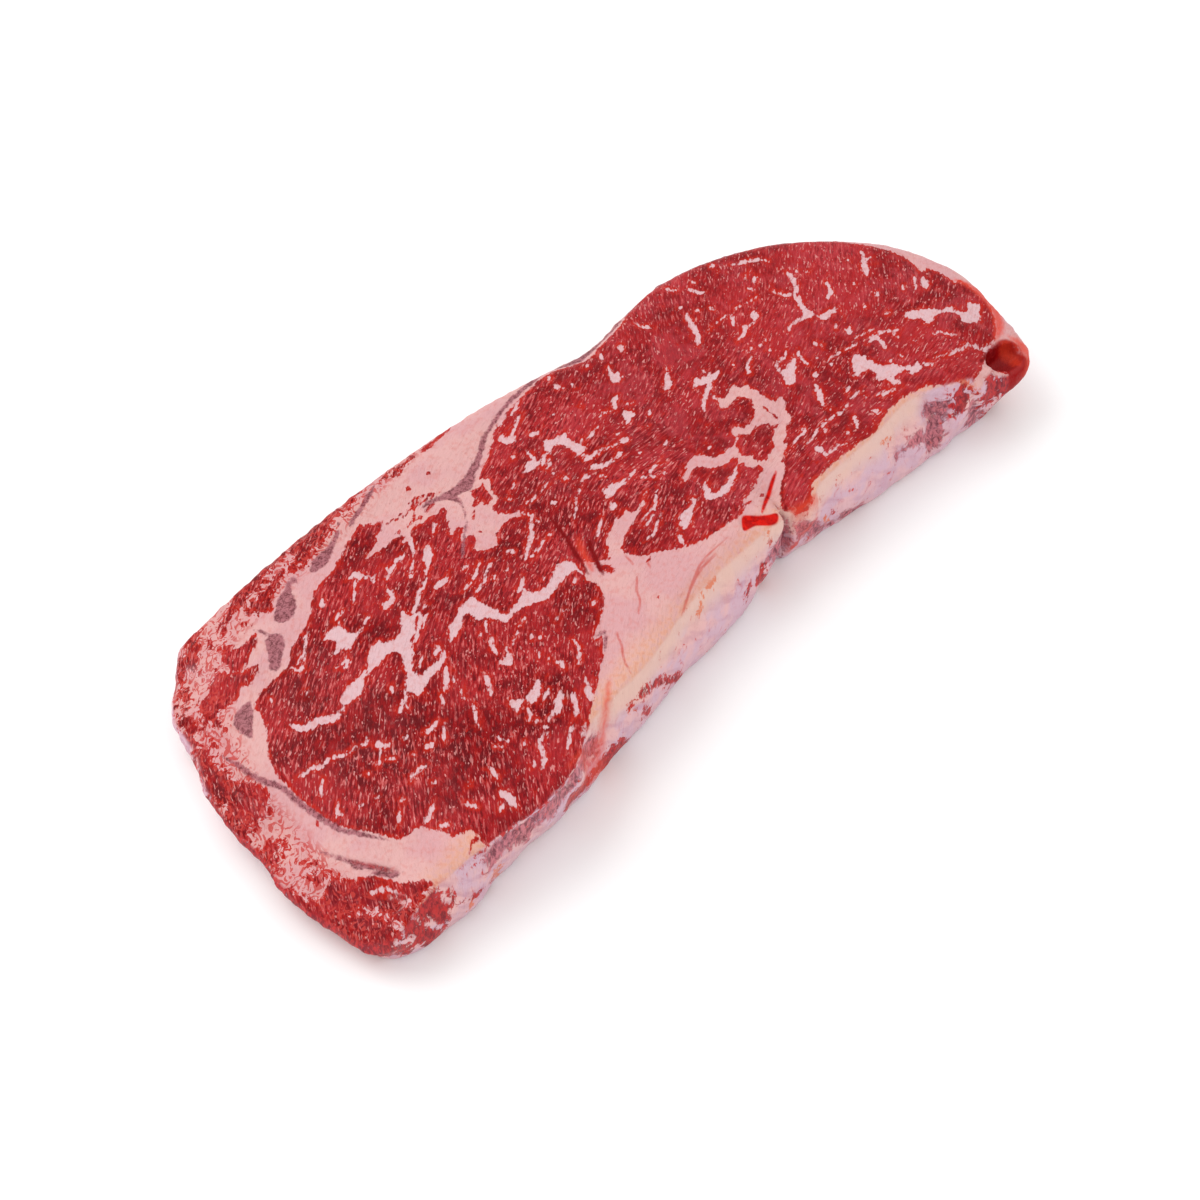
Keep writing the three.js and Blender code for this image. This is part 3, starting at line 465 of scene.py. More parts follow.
# Marbling: thin lines and specks of fat in the muscles.
MARBLING = {
    0.4: [[(59, 19), (62, 19.3), (66, 19), (70, 18.8), (74, 18), (78, 17.3)]],
    0.5: [[(-86.4, 11.2), (-85.2, 13)], [(-86.3, -14), (-84.5, -15.7)], [(-83.8, -26.3), (-82.8, -27.3)],
          [(-73.6, -7.6), (-74, -9.4)], [(-44, -4.5), (-46, -6.5), (-46.7, -8.3)], [(-66, -29.3),
          (-65.7, -31), (-65, -32.2), (-63.5, -31.8)], [(-37, -28.5), (-35.7, -26.8), (-34.5, -25.3),
          (-34, -23)], [(-45.3, -14.3), (-43.5, -13.3), (-41.5, -12.5), (-39.5, -11.3), (-37.2, -10.7)],
          [(-43.5, -21), (-42, -20.3)], [(-26.3, -6), (-25, -5)], [(-24, 0.5), (-21, 1.5), (-17, 2.5),
          (-14.5, 2.7)], [(-12, 18.8), (-11, 19), (-9.5, 19.7)], [(-12, 13.3), (-10, 13), (-8.5, 13.2)],
          [(-7.7, 13), (-5, 13.7), (-3, 13.7)], [(-7.7, 1.5), (-5, 3.5), (-3, 5.5), (0, 7)], [(19.5, 19),
          (21.5, 19.3), (23.3, 18.5)], [(26, 18.3), (27.5, 17.3), (29, 16)], [(3, -7.7), (6, -7.5), (9, -6),
          (10.5, -5.3)], [(2, -12), (5, -11.7), (8, -10.5)], [(-1, -15.2), (2, -15.3), (5, -14), (8, -12.5)],
          [(78.7, 24), (80, 25), (82, 25.3)], [(71.5, -9.3), (75, -9.5), (78, -10.2), (81.5, -11)],
          [(73, -25), (75.5, -24.8)], [(63.5, -22), (66, -21.5), (69, -21.2), (70.5, -21)]],
    0.6: [[(-91.3, 19), (-92, 17.7)], [(-82, 19.8), (-79, 20.5), (-77, 22), (-75.5, 23.5), (-73, 25)],
          [(-85.2, -11.2), (-87, -12.8), (-88.8, -13.8)], [(-101.8, -14), (-100.3, -13)], [(-98.6, -17.6),
          (-97, -17.5)], [(-71, -18), (-73, -19.7), (-75, -22)], [(-77, 11.5), (-75, 11.1), (-73, 12)],
          [(-55.5, 4.5), (-53.5, 6), (-51.5, 6.5)], [(-63.5, 1), (-61, 3.5)], [(-42, 5.2), (-38, 5.8),
          (-34.5, 7.6), (-32, 9)], [(-37, 9.3), (-35, 10.5)], [(-64.7, -3.3), (-63, -2.3), (-61.5, -1.7)],
          [(-60.3, -10), (-62, -12)], [(-62, -14.5), (-64, -17)], [(-66.7, -12.5), (-68, -14.7)],
          [(-55.5, -34.8), (-53, -34.3), (-51, -33.5)], [(-63.3, -36), (-62.3, -35)], [(-68, -31),
          (-67, -32.5)], [(-40.8, -16.2), (-39.7, -15.2)], [(-29.7, -15.7), (-28.5, -15.8)], [(-38.3, -28.7),
          (-37, -27.5), (-36.3, -26.3)], [(-1.2, 15.2), (-0.6, 14)], [(20.7, 32.3), (22, 31), (23, 31),
          (23.2, 32)], [(28.5, 10.5), (30, 11.7)], [(2, -10.3), (8, -10), (10.7, -8), (12.7, -6.5)],
          [(15.3, -4.3), (14.7, -2.7), (16, -1.7), (18, -1.6), (20, -2.8)], [(66, 6), (66.7, 7)], [(55, 7.4),
          (54.8, 6.6)], [(67.7, -7.5), (68, -5), (68.5, -3), (69.5, -1.5)], [(81.5, -9.5), (83.5, -9.5),
          (86, -10.3), (88, -10.6)], [(48.5, -23), (50, -22.7), (53, -22.3), (56, -21.8), (59, -21.8),
          (61, -22.3)], [(106, -9.7), (107.5, -8), (109.3, -6.5)], [(90.2, -15.5), (90.2, -17.7)]],
    0.7: [[(-110.6, -33.2), (-108.1, -35.6), (-107.2, -39.3), (-108, -43)], [(-83.1, 20.6), (-82.8, 18.5),
          (-81.8, 17.3), (-81.3, 18.8), (-79, 20)], [(-90.3, -23.5), (-91.5, -24.6)], [(-72.4, -2),
          (-73.5, -3.5)], [(-79.3, -33.6), (-78, -33)], [(-42.7, 21), (-46, 18.2), (-47.3, 16.5)],
          [(-54.5, 7), (-52.5, 8), (-50.5, 8.5)], [(-40.5, 2.7), (-37.5, 3.3), (-35.5, 4), (-34, 5.3),
          (-30, 7)], [(-42.2, -23), (-41.7, -22.7)], [(2.7, 21), (0.5, 19.7), (-1.5, 18.3)], [(19, 24.5),
          (19.5, 25.3)], [(12.5, 28), (13.3, 28.2)], [(17.7, 3.7), (18.2, 4.2)], [(-7.7, -5.7), (-5, -4.5),
          (-2.7, -3)], [(12.7, -1.5), (13.7, -2.7)], [(44, 1.7), (43.8, 3), (44.3, 4)], [(48.3, 11.7),
          (48.5, 10), (49, 8.7)], [(64, 6), (64.8, 5.8)], [(60.8, -20.3), (61.2, -20.1)], [(74.5, -5.7),
          (75.3, -4.7)], [(81.5, -4), (82.5, -3)], [(82.3, -21), (84, -20.5)], [(70, -23.5), (71, -22.8)],
          [(50, -28), (49, -29), (51, -28.7), (54, -28.8), (55.5, -29.7)], [(92.3, -20), (92.3, -21.7)],
          [(96.8, -23), (98.5, -23), (99, -24), (100.5, -26), (101.7, -26.7)]],
    0.8: [[(-87, -7), (-85.8, -7.8), (-85, -6.8)], [(-98.3, -6), (-100.5, -7.2), (-101.5, -9)],
          [(-81.9, -18), (-81.1, -18.1)], [(-71.5, -6.5), (-74, -7.3), (-76.2, -8.3)], [(-79, -43),
          (-77, -42.4)], [(-76, 9.7), (-74.5, 10.5), (-73.5, 10)], [(-49, 23.8), (-48.7, 22.6)],
          [(-34.2, 2.5), (-33.2, 3.5)], [(-57.5, -19), (-59, -21)], [(-58, -31.7), (-56.5, -31),
          (-55.5, -29)], [(-57, -34), (-56.3, -32.7)], [(-52, -42.7), (-50, -41.7), (-48, -40.7)],
          [(-57.5, -43.5), (-55.5, -42), (-53.5, -40.7), (-50.5, -39)], [(-21.5, -11.5), (-20, -10.8)],
          [(-14.3, 7), (-13.8, 8)], [(-0.8, 21), (-0.6, 23), (0, 24.5)], [(-4.3, 25.5), (-3, 25.8)],
          [(-14.3, 17.3), (-13.3, 17)], [(29.5, 33.3), (31, 33.5)], [(10.3, 17), (12, 16.8), (13.7, 16.4),
          (15, 16.8), (17.3, 17)], [(18, -4.2), (17.3, -4.8)], [(65.3, 24.3), (65.7, 22.7)], [(64.8, 15.3),
          (66, 16.7), (67, 18)], [(79, 21), (80.5, 22.3), (81.7, 22.7)], [(76, 33), (77.5, 34)], [(61.5, -3),
          (62, -1)], [(73.7, -4), (74.6, -3)], [(58, -27.9), (59, -27.5)], [(54.8, -23.7), (55.6, -23.3)],
          [(46, -20.3), (49, -20), (51, -20), (52.5, -19)], [(102, 9), (101.5, 9.7)], [(89.7, 16.6),
          (90.2, 16)], [(91.3, 14.2), (92, 14.2)], [(103.2, -7.3), (104.8, -6.4)], [(93.5, -9.7),
          (95.5, -9.8)]],
    0.9: [[(-115.4, -32.4), (-113.6, -35.5), (-112.7, -38.5), (-112.4, -42.4)], [(-86.8, -22.4),
          (-85, -21.7), (-82.5, -22.1), (-81.5, -22.7)], [(-95.4, -27.5), (-94.4, -26.2), (-93.4, -25.6)],
          [(-54.5, 26), (-54, 24.5), (-53.5, 23.3), (-52, 23.6)], [(-44.7, 14), (-47.3, 13), (-49, 12.2),
          (-52.7, 10), (-55, 8.6)], [(-60, 2.6), (-57.5, 4), (-55.5, 5.6), (-53.8, 6.6)], [(-34, 22.8),
          (-32.5, 24), (-31, 25.3)], [(-59.7, -3.3), (-58, -2.7), (-57, -1.5)], [(-49, -7), (-47.5, -7)],
          [(-63.5, -19.5), (-64.5, -21.5), (-66, -23), (-67, -25)], [(-51.5, -30.3), (-50, -29.5),
          (-48.3, -28.8)], [(-65, -42.7), (-62.5, -41.3), (-61.3, -39), (-60, -37.3), (-58.5, -36.7)],
          [(-41, -34.3), (-39.5, -32.5)], [(-39.3, -17.5), (-38.4, -16.9)], [(-33, -16.7), (-31.5, -16)],
          [(-33, -4.3), (-31.5, -3.7)], [(1.5, 35.8), (2.5, 36.5), (4, 36.7), (5, 37.3)], [(6, 36),
          (8, 36.7), (10, 37.3)], [(18.3, 12), (19.5, 12)], [(25.7, 8.3), (26, 8.7)], [(23.8, 1.2),
          (25.7, 2.3)], [(49.5, 35), (49, 33), (50, 31.5), (50.8, 30)], [(62.3, 26), (63, 25.2)], [(63, 37),
          (63.3, 35.5), (63.8, 34)], [(66, 33), (67, 31), (67.5, 29), (69, 29)], [(69.2, 33.5),
          (69.4, 32.4)], [(55.3, 1.7), (56.5, 3), (58, 4.5), (60, 5.3)], [(77, 21.3), (77.5, 19.5)],
          [(62, 7), (61.8, 6.3)], [(63, -1), (65, -0.5), (66, -1.3), (67, 0)], [(60.3, -18.2), (61.3, -17)],
          [(70.5, -7), (71.5, -6.4)], [(61.3, -28.3), (62.5, -27.3), (63, -26), (64, -25.3)], [(61, -22.3),
          (63.5, -22)], [(105.5, 7.5), (107, 9)], [(87, -12), (89, -13), (91, -14.5), (92.5, -15.5)],
          [(92, -28), (94, -28.8), (96, -29.5), (98.5, -29.8), (100.5, -29.8), (102, -30.3), (103.5, -31.7),
          (105, -33), (109, -33)]],
    1.0: [[(-101.8, -1), (-99.5, -1.8), (-98, -2), (-97, -3.2), (-94, -3.7), (-92.5, -4.9), (-90, -6.4),
          (-88, -6.2)], [(-91.7, -12.9), (-91.2, -13.3)], [(-76, -16.2), (-74.5, -16.8), (-72, -16.7)],
          [(-92.6, -31.8), (-90, -31.5), (-88.5, -30.8), (-86.5, -30.3)], [(-82.8, -35.5), (-82, -37.5),
          (-81.4, -38.8)], [(-73, -33.2), (-72.8, -35), (-73.5, -37.4)], [(-68, 21), (-66.5, 21.4),
          (-65, 21.7)], [(-53.5, 23.3), (-54.5, 22.5)], [(-46.8, 23.5), (-45.5, 22.9), (-44.5, 23),
          (-43.2, 23.5)], [(-30.3, 2.3), (-29.5, 2.6)], [(-41.7, -25), (-40.8, -25.5), (-41.5, -27.5)],
          [(-25.5, 1), (-23, 2.5), (-21, 4), (-19, 5), (-17.7, 5.7), (-16.7, 7.3), (-15.3, 8.5), (-14, 9.7),
          (-14.3, 11.3), (-15.3, 12.6)], [(-26, 6.5), (-25, 5.5), (-25.3, 4.3)], [(1.3, 31.3), (3, 32),
          (5, 33), (8, 34.5)], [(-1, 17), (0.8, 18), (2, 18.6)], [(5.9, 6.3), (7, 5.2)], [(20.5, 36.5),
          (21, 37.5), (21.5, 38)], [(31, -7.2), (31.3, -6.3)], [(60.4, 29.4), (60.4, 30)], [(61.3, 11.2),
          (63, 11.3), (64.5, 11.5), (66, 13), (67, 12.7), (69, 12.3)], [(80.5, 30), (82, 29), (84, 28),
          (86, 26.5), (87, 25.5), (87.5, 24)], [(72.7, 3.7), (74, 4.7), (76, 4.7), (78, 4.3), (80, 4.5)],
          [(68, -19), (70, -18.6)], [(85.6, -21.5), (86.4, -21.4)], [(73.3, -26), (75, -26.3),
          (77.5, -26.8)], [(87.8, 4), (88.5, 4.5), (90, 5), (91, 6.5), (92, 8), (92.7, 8.5)], [(105, 6.5),
          (107, 6.3)], [(96, 2.7), (96.6, 2.7)], [(92.2, -4), (92.4, -4.6)], [(87.3, -26.7), (88.7, -28),
          (89.7, -29)]],
    1.1: [[(-84.2, -11.4), (-82.8, -12.4)], [(-46.7, -9), (-48.3, -10.7), (-49.7, -13.7)], [(-58, -37.3),
          (-56.5, -36), (-55.5, -34.8)], [(-66, -40.7), (-64.5, -40)], [(-23.3, -18.9), (-21.5, -18.7)],
          [(-8, 9), (-7, 8)], [(34.3, 32), (35, 33), (35.6, 33.6)], [(80.2, 16.5), (80.7, 14.5),
          (81.5, 12.7), (83, 11.3)], [(63.5, -13.3), (64.7, -12.3)], [(71.5, -10.8), (72, -10.5)], [(97, -4),
          (98.5, -3.2)]],
    1.2: [[(-94.2, -19.1), (-93.8, -19.6)], [(-80.1, -13.8), (-78.9, -14.3)], [(-89.8, -35), (-88.7, -36.6)],
          [(-51.5, 21), (-50, 21.7), (-48.5, 22.4), (-46.7, 22.2)], [(-49.5, -38.3), (-48, -37.5),
          (-46.8, -36), (-45.5, -34.2), (-44.7, -33.2)], [(1.8, 8), (3.3, 8.6), (4.5, 8)], [(24.3, 18.2),
          (25, 19), (26, 20), (28, 20.9)], [(5, -22.3), (5.3, -21), (6, -20)], [(39, 2), (40, 3.2),
          (42, 4.4), (44, 5.5), (46, 6.5), (47.5, 7.3)]],
    1.3: [[(-41.3, 22), (-40, 24.5), (-38.7, 26.3), (-37.3, 28.3)], [(39.7, 30.5), (40.5, 31.4),
          (41.3, 32.3)], [(83, 11.3), (85, 12.3), (86.3, 14), (87.4, 16), (87.9, 18)], [(83.5, -12.7),
          (86, -12.5), (86.3, -14.5), (85.3, -17.3)], [(68.5, -27.5), (69, -29.5)]],
    1.4: [[(-78.6, -19.2), (-76.7, -20)], [(-60, -7.3), (-61.5, -9), (-63.5, -10.8), (-65.3, -12.1)],
          [(-0.7, 11.3), (0, 12), (0.2, 12.4)], [(4, 28), (5, 27.2), (6.2, 26.8)], [(53.7, 17.5), (55.5, 19),
          (57, 21), (58, 23.5), (59, 25.5), (60, 27)], [(64.4, 3.6), (65, 2.6)], [(66, -10.5), (67.3, -9.8)],
          [(95.5, -40), (96.5, -38.5), (98, -38)]],
    1.5: [[(-112.6, -44.4), (-111.6, -45.6)], [(-102.7, -15), (-101.7, -14.8)], [(-67.3, 26.3), (-65.8, 28)],
          [(-55.5, -16), (-56.5, -17.3), (-57.2, -18.8)], [(101, 2.5), (102.5, 4.5), (104, 6),
          (105.5, 7.5)]],
    1.6: [[(19.6, 34.5), (20.3, 33)], [(0.6, -3.1), (1.7, -2.5), (2, -1.5)], [(83, 11.3), (82.5, 9.5),
          (81.8, 8), (80.5, 6)], [(61.3, -17), (62.5, -15), (63.5, -13.3)]],
    1.8: [[(-43, -38), (-42.3, -36), (-41, -34.3)]],
    1.9: [[(-93.7, 10), (-93, 7.3), (-91.8, 6), (-90, 5.5), (-88.7, 4.9), (-87.3, 3.6), (-85.3, 2.5),
          (-82.7, 3.1)], [(70, 12.8), (71.6, 14.9)]],
    2.0: [[(-75.3, -39.5), (-75.2, -42), (-75.6, -44.8)], [(48.8, -25.5), (50.3, -26.8)], [(108.3, -11),
          (110.7, -8)]],
    2.2: [[(-84.9, -9.6), (-84.3, -11.2)]],
    3.3: [[(83.1, -6.5), (83.6, -7.2)]],
}

# Grey-purple silver skin on the cut face, in broad patches and in thin lines; the lines along the right rim
# are partly a painted highlight there.
SILVER_PATCHES = [
    [(-102, 16.5), (-101.6, 20), (-101, 22), (-98.5, 22.7), (-95, 22.4), (-95.7, 20.5), (-97.5, 18.3),
     (-100, 16), (-101.3, 14.8)],
    [(-86.5, 24.2), (-85.5, 25.5), (-84, 27.5), (-82.5, 30.2), (-80.5, 31), (-78.5, 29.3), (-79, 27),
     (-81.5, 24.8), (-85, 22.6)],
    [(-76.8, 31.7), (-76.5, 33.5), (-74.5, 34.8), (-73.5, 36), (-71, 37), (-69, 37.5), (-67.5, 38.5),
     (-66.5, 37.8), (-68, 36), (-69.3, 34), (-70.3, 32), (-71.5, 31), (-74, 30), (-75.7, 30.3)],
    [(-66.5, 38.3), (-65, 38.5), (-65.3, 37), (-66.3, 36)],
    [(-62, 36.3), (-60.5, 37.3), (-59, 38.5), (-56, 38.5), (-52, 39.3), (-49.5, 40.3), (-48.2, 40.3),
     (-49, 39.3), (-51.5, 38), (-54.5, 36.3), (-57.5, 35), (-61, 35.2)],
    [(-46, 39.3), (-45, 40.3), (-42.5, 41.3), (-39.5, 42.3), (-36, 43.5), (-33.5, 44.5), (-31.5, 46),
     (-33, 43.7), (-36, 42), (-39, 41), (-43, 39.8), (-45, 39)],
    [(-30, 31), (-28, 31.8), (-25, 31), (-22, 30.5), (-20, 30.3), (-17, 30.5), (-14, 31.3), (-11, 32.5),
     (-8, 34), (-5, 36), (-2, 37), (1, 38), (4, 39), (8, 40), (14, 40.8), (20, 41), (20, 39.6), (12, 39),
     (8, 38.7), (5, 38), (1, 36.7), (-2, 35.8), (-4, 34.5), (-6.5, 33), (-9, 31.5), (-11, 30), (-13.5, 29),
     (-16, 27), (-18, 26.5), (-20, 27), (-21.2, 27.3), (-21.7, 26), (-22.7, 24), (-24.3, 21.3),
     (-25.5, 19.8), (-28, 17.7), (-31, 15), (-34, 12.5), (-35.2, 12.3), (-33, 14.5), (-30, 17), (-27, 19.3),
     (-25, 21.3), (-23.5, 24), (-23.2, 26.5), (-24.5, 29), (-27, 30)],
    [(22, 40.6), (25, 38.7), (28, 36.7), (31, 35.6), (35, 36), (40, 37), (46, 37.6), (49, 38.8), (44, 39.5),
     (35, 39.8), (28, 40.6)],
]
SILVER_LINES_AND_RIM_HIGHLIGHT = {
    0.8: [[(-47.8, 41.1), (-46.8, 42.2)]],
    0.9: [[(-110.8, -16), (-109.7, -20), (-108.5, -25), (-106.5, -30), (-104.5, -34), (-103.3, -36.5)]],
    1.0: [[(-81.7, 35), (-80.8, 33), (-80.4, 31), (-80.3, 29.5)], [(-30, -26), (-28, -26), (-26.9, -26.3),
          (-27.5, -27.3), (-29, -28.7), (-31, -30.3)]],
    1.3: [[(-109, -25.5), (-107.8, -28.5)]],
    1.4: [[(-107.4, 19), (-107.2, 14), (-107.3, 10), (-106.8, 6), (-105.9, 3), (-105.2, 0), (-105.4, -6),
          (-105.2, -12), (-104.8, -17), (-103.8, -20), (-102.5, -23), (-101, -26), (-99.5, -28.8)]],
    # This line and the 2.0 mm one run along the right rim: partly silver skin, partly a painted highlight on
    # the rim.
    1.7: [[(50, 38.7), (56, 40.2), (62, 40.2), (68, 39.2), (74, 37.7), (80, 35.3), (86, 32.4), (92, 29.2)]],
    1.8: [[(-107.4, -30.5), (-106, -33), (-104.4, -36.4)]],
    2.0: [[(92, 29.2), (97, 25.7), (102, 21.3), (106, 16.8)]],
}

# Deep cuts: a bright wet slit, the gash at its foot and the clefts, darker red inside as painted shade: the
# slit and gash in patches, the clefts all along.
SLITS = {
    0.8: [[(25.6, -29), (30, -26.5), (34, -24.4), (38, -22.6)]],
}
GASHES = [
    [(18, -29.9), (19.2, -28.3), (21, -26.9), (22.8, -28.1), (24.6, -29.6), (26.6, -30.6), (28.4, -31.3),
     (27.6, -32.5), (26.2, -33), (24.6, -32.6), (23, -31.7), (21.4, -30.7), (19.8, -30.4)],
]
CLEFTS = {
    0.6: [[(40.4, -24.4), (38, -25.2), (35.6, -26.7), (33.8, -28.4), (32.8, -30.6)]],
    0.9: [[(101, -34.9), (103, -34.5), (105, -34.2), (109, -34.1)]],
    1.1: [[(-11.4, 6), (-12, 2.2), (-13.8, -3.6), (-16.9, -11.8)]],
    1.4: [[(-9.4, -4.6), (-10.6, -7), (-12.6, -10.8), (-14.6, -14.5)]],
}

# The hollow beside the knob of the thick end.
POCKETS = [
    [(103.5, -35), (109, -33.5), (112.6, -34.6), (113.8, -37.5), (113, -41.5), (109, -43), (106, -42.3),
     (105.6, -39.6), (105, -37.2)],
]
# Orange-red strips round the thick end, by the gash and the clefts, and along the near rim.
GLOWS = {
    1.3: [[(-36, -36.5), (-42, -41), (-50, -44.5), (-60, -46)]],
    1.7: [[(-11, -2.5), (-13, -6.5), (-15.4, -11.6)]],
    1.8: [[(33.4, -31.2), (34.6, -32.7), (37, -33.7), (40.4, -34.1)]],
    2.4: [[(110.6, -34.4), (112, -37), (110.8, -40.4)]],
    2.6: [[(113.6, -34.5), (114.8, -37.5), (114, -41.5), (110.5, -43.4), (106.5, -43)]],
    3.0: [[(116.8, -14), (118.4, -18), (118.3, -23), (116.8, -27.5), (113.5, -31), (110, -32.8)]],
}

# Darker muscle in the tail.
LOBES = [
    [(-112.6, -33.6), (-110, -34.3), (-108.6, -37.2), (-108.2, -40), (-109.4, -43.6), (-111, -44.6),
     (-111.6, -42), (-112, -38.6)],
    [(-117.4, -33.4), (-115.8, -33.8), (-114.4, -36.6), (-113.6, -40), (-115.8, -40.8), (-116.8, -37.6)],
    [(-115.7, -23.6), (-113.2, -24), (-113.4, -26.6), (-115.6, -28), (-117, -26.8)],
    [(-114.8, -28.8), (-112.6, -29.4), (-111.8, -31.8), (-113.6, -32.2)],
]

# Fine red veins in the fat of the near edge.
VEINS = {
    0.3: [[(-25, -28.5), (-26, -30), (-27, -32), (-28.7, -34), (-30, -36), (-30.8, -38.5)], [(-8, -18),
          (-7.7, -17), (-7, -14)], [(-6, -21.7), (-5.5, -20.7), (-5, -19.8)], [(-10, -21), (-11, -22),
          (-13, -23.7), (-14, -25.3), (-15, -26.7), (-18, -29)], [(-10, -35.5), (-7, -34), (-5, -33),
          (-3, -32), (0, -30.7), (3, -29.5), (8, -28.8), (14, -28.6)], [(-3, -32.2), (0, -31), (4, -30.2),
          (8, -30)], [(-4, -35.5), (-1, -35), (0, -34.3), (1.5, -33.8), (3, -33.9)]],
}

# Near side, in mm along and up; the far side is its mirror image. Dark red muscle.
SIDE_MUSCLES = [
    [(-119, 12), (-116, 15.5), (-109, 18), (-103, 19.5), (-101, 18), (-100, 10), (-100.5, 2.5), (-104, 1.5),
     (-110, 3), (-117, 6)],
    [(-61.5, 14), (-60.5, 6), (-58, 4), (-52, 4.5), (-50, 8), (-52, 11), (-54, 12.5), (-57, 14.5),
     (-60, 15.8)],
    [(-50, 10.3), (-46, 10.3), (-45, 11.2), (-40, 10.7), (-37, 9.3), (-35, 5), (-34, 1.5), (-42, 1),
     (-46, 4), (-50, 6)],
    [(-30.5, 18.6), (-27, 17.8), (-23.5, 16.3), (-20, 13), (-16.5, 9.7), (-13, 6), (-10.5, 2), (-14, 4),
     (-17, 6.5), (-20, 7.5), (-21, 10.5), (-25, 13.8), (-28.5, 16.3)],
    [(-31, 15.3), (-29, 13.5), (-26.8, 10), (-25.5, 7), (-26, 4), (-28, 5.5), (-30, 9)],
    [(12.7, 7), (12.8, 10), (14, 12.7), (15.5, 14.7), (15.3, 11), (15.2, 7)],
    [(17, 12), (19, 13.6), (21, 13), (22.7, 9), (24, 4), (21.5, 4), (19, 7), (17.3, 9)],
    [(88, 15), (89, 20), (91, 22.5), (93, 22), (94, 17), (91, 14)],
    [(97.5, 21), (99, 22), (101.5, 21), (105, 17), (107, 14.5), (103, 12), (99, 9), (97.5, 13)],
    [(-91, 21.2), (-86, 20.6), (-78, 21.2), (-70, 22), (-62, 22.5), (-54, 22.6), (-50, 24), (-54, 27),
     (-70, 27), (-88, 25)],
    [(31, 26), (31.3, 21), (34, 20.2), (37, 21.3), (38.8, 23.5), (39, 26)],
    [(102, 16), (104, 20), (106, 21.5), (112, 21.5), (114.5, 17), (112, 13), (107, 11.5), (103.5, 13)],
]
# Fat seams through that muscle.
SIDE_SEAMS = {
    0.7: [[(-117.5, 12), (-115.5, 8)]],
    0.9: [[(-114.5, 14.8), (-112, 10), (-110, 5), (-109, 2)]],
    1.0: [[(-109.5, 17), (-107, 13), (-104, 9), (-101.5, 5)]],
}
# Thin red streaks in the fat.
SIDE_STREAKS = {
    0.6: [[(-97, 12), (-95, 10.8), (-92, 10), (-90, 9.5)]],
    0.9: [[(-98.5, 18), (-98.7, 15), (-98, 13)], [(24, 19), (23.4, 21)]],
    1.0: [[(-92, 18.7), (-90.5, 18.6), (-90, 20), (-87, 20.6), (-86, 19.8)]],
    1.2: [[(-34, 18), (-33.6, 16)]],
    1.4: [[(47, 8.6), (48.6, 9.2)]],
}
# Amber stains.
SIDE_AMBER = {
    1.2: [[(23, 24), (24, 19)], [(44.5, 9.5), (46.8, 6.3)], [(64, 20.6), (67.5, 20.6)]],
    1.4: [[(-34, 18), (-33.6, 15.5)]],
    1.6: [[(-94, 8.5), (-93.5, 5)]],
    1.8: [[(-4, 20), (-1.5, 22), (1, 23), (4, 23)]],
    2.2: [[(92, 24), (93.5, 20.5)]],
    2.6: [[(-84.5, 11), (-83.5, 7), (-82, 3)]],
}
# Purple membrane, and purple painted as shade: in the notch recess at 20 to 33 mm along and low down at 50
# to 61 mm.
SIDE_MEMBRANES_AND_SHADE = [
    [(-88, 18.3), (-87.5, 14), (-85, 13.3), (-82, 14.3), (-78, 12.3), (-75, 11.5), (-73.5, 14.5),
     (-70.5, 17), (-67.5, 13), (-65.5, 14), (-62, 17), (-57, 18.3), (-53, 15), (-47, 14), (-46, 17),
     (-47, 20), (-52, 22.6), (-62, 22.6), (-72, 21.8), (-80, 20.6), (-86, 20)],
    # Painted shade in the notch recess.
    [(20, 13.5), (23, 15.5), (26, 18.5), (29, 20.5), (32, 20.5), (33, 14), (32.5, 2), (29, 8), (25, 10.5),
     (22, 12)],
    [(33, 16), (36, 17.3), (38, 15.7), (41, 12.3), (45, 7.3), (51, 1.5), (44, 1.5), (42, 5), (39, 6.5),
     (36, 8), (34, 11)],
    # Painted shadow low on the side.
    [(50, 7.3), (53, 5.7), (57, 3.3), (61, 0.8), (52, 0.8)],
    [(68.5, 13.3), (70.5, 10.5), (73.5, 10.8), (79, 11), (80, 14.5), (76, 14.3), (73, 12.5)],
    [(81.3, 19), (83, 20.3), (85, 19.3), (88.7, 19.5), (88, 16), (86, 12), (86.5, 9), (85, 4), (82, 5),
     (80, 9), (79.5, 12), (82, 14.5)],
    [(94, 15), (96, 16), (98, 12), (100, 7), (101, 2), (96, 2), (95.5, 8)],
]


def curve_through(points, closed):
    """A finer path on a smooth curve through the points."""
    knots = np.array(points, dtype=float)
    if closed:
        knots = np.vstack([knots[-1:], knots, knots[:2]])
    else:
        knots = np.vstack([2 * knots[0] - knots[1], knots, 2 * knots[-1] - knots[-2]])
    before, start, end, after = knots[:-3], knots[1:-2], knots[2:-1], knots[3:]
    steps = np.arange(CURVE_STEPS)[None, :, None] / CURVE_STEPS
    before, start, end, after = (corner[:, None, :] for corner in (before, start, end, after))
    path = 0.5 * (2 * start + (end - before) * steps
                  + (2 * before - 5 * start + 4 * end - after) * steps ** 2
                  + (3 * start - before - 3 * end + after) * steps ** 3)
    path = path.reshape(-1, 2)
    return np.vstack([path, path[:1] if closed else knots[-2:-1]])


def distance_to(path, places):
    """For each place: distance to the path, its share of the way along, and whether it is inside."""
    nearest = np.full(len(places), FAR)
    along = np.zeros(len(places))
    inside = np.zeros(len(places), dtype=bool)
    for step, ((ax, ay), (bx, by)) in enumerate(zip(path[:-1], path[1:])):
        x, y = places[:, 0] - ax, places[:, 1] - ay
        dx, dy = bx - ax, by - ay
        share = np.clip((x * dx + y * dy) / max(dx * dx + dy * dy, TINY), 0, 1)
        square = (x - share * dx) ** 2 + (y - share * dy) ** 2
        along = np.where(square < nearest, (step + share) / (len(path) - 1), along)
        nearest = np.minimum(nearest, square)
        if dy:
            inside ^= ((places[:, 1] > ay) != (places[:, 1] > by)) & (x < y * dx / dy)
    return np.sqrt(nearest), along, inside


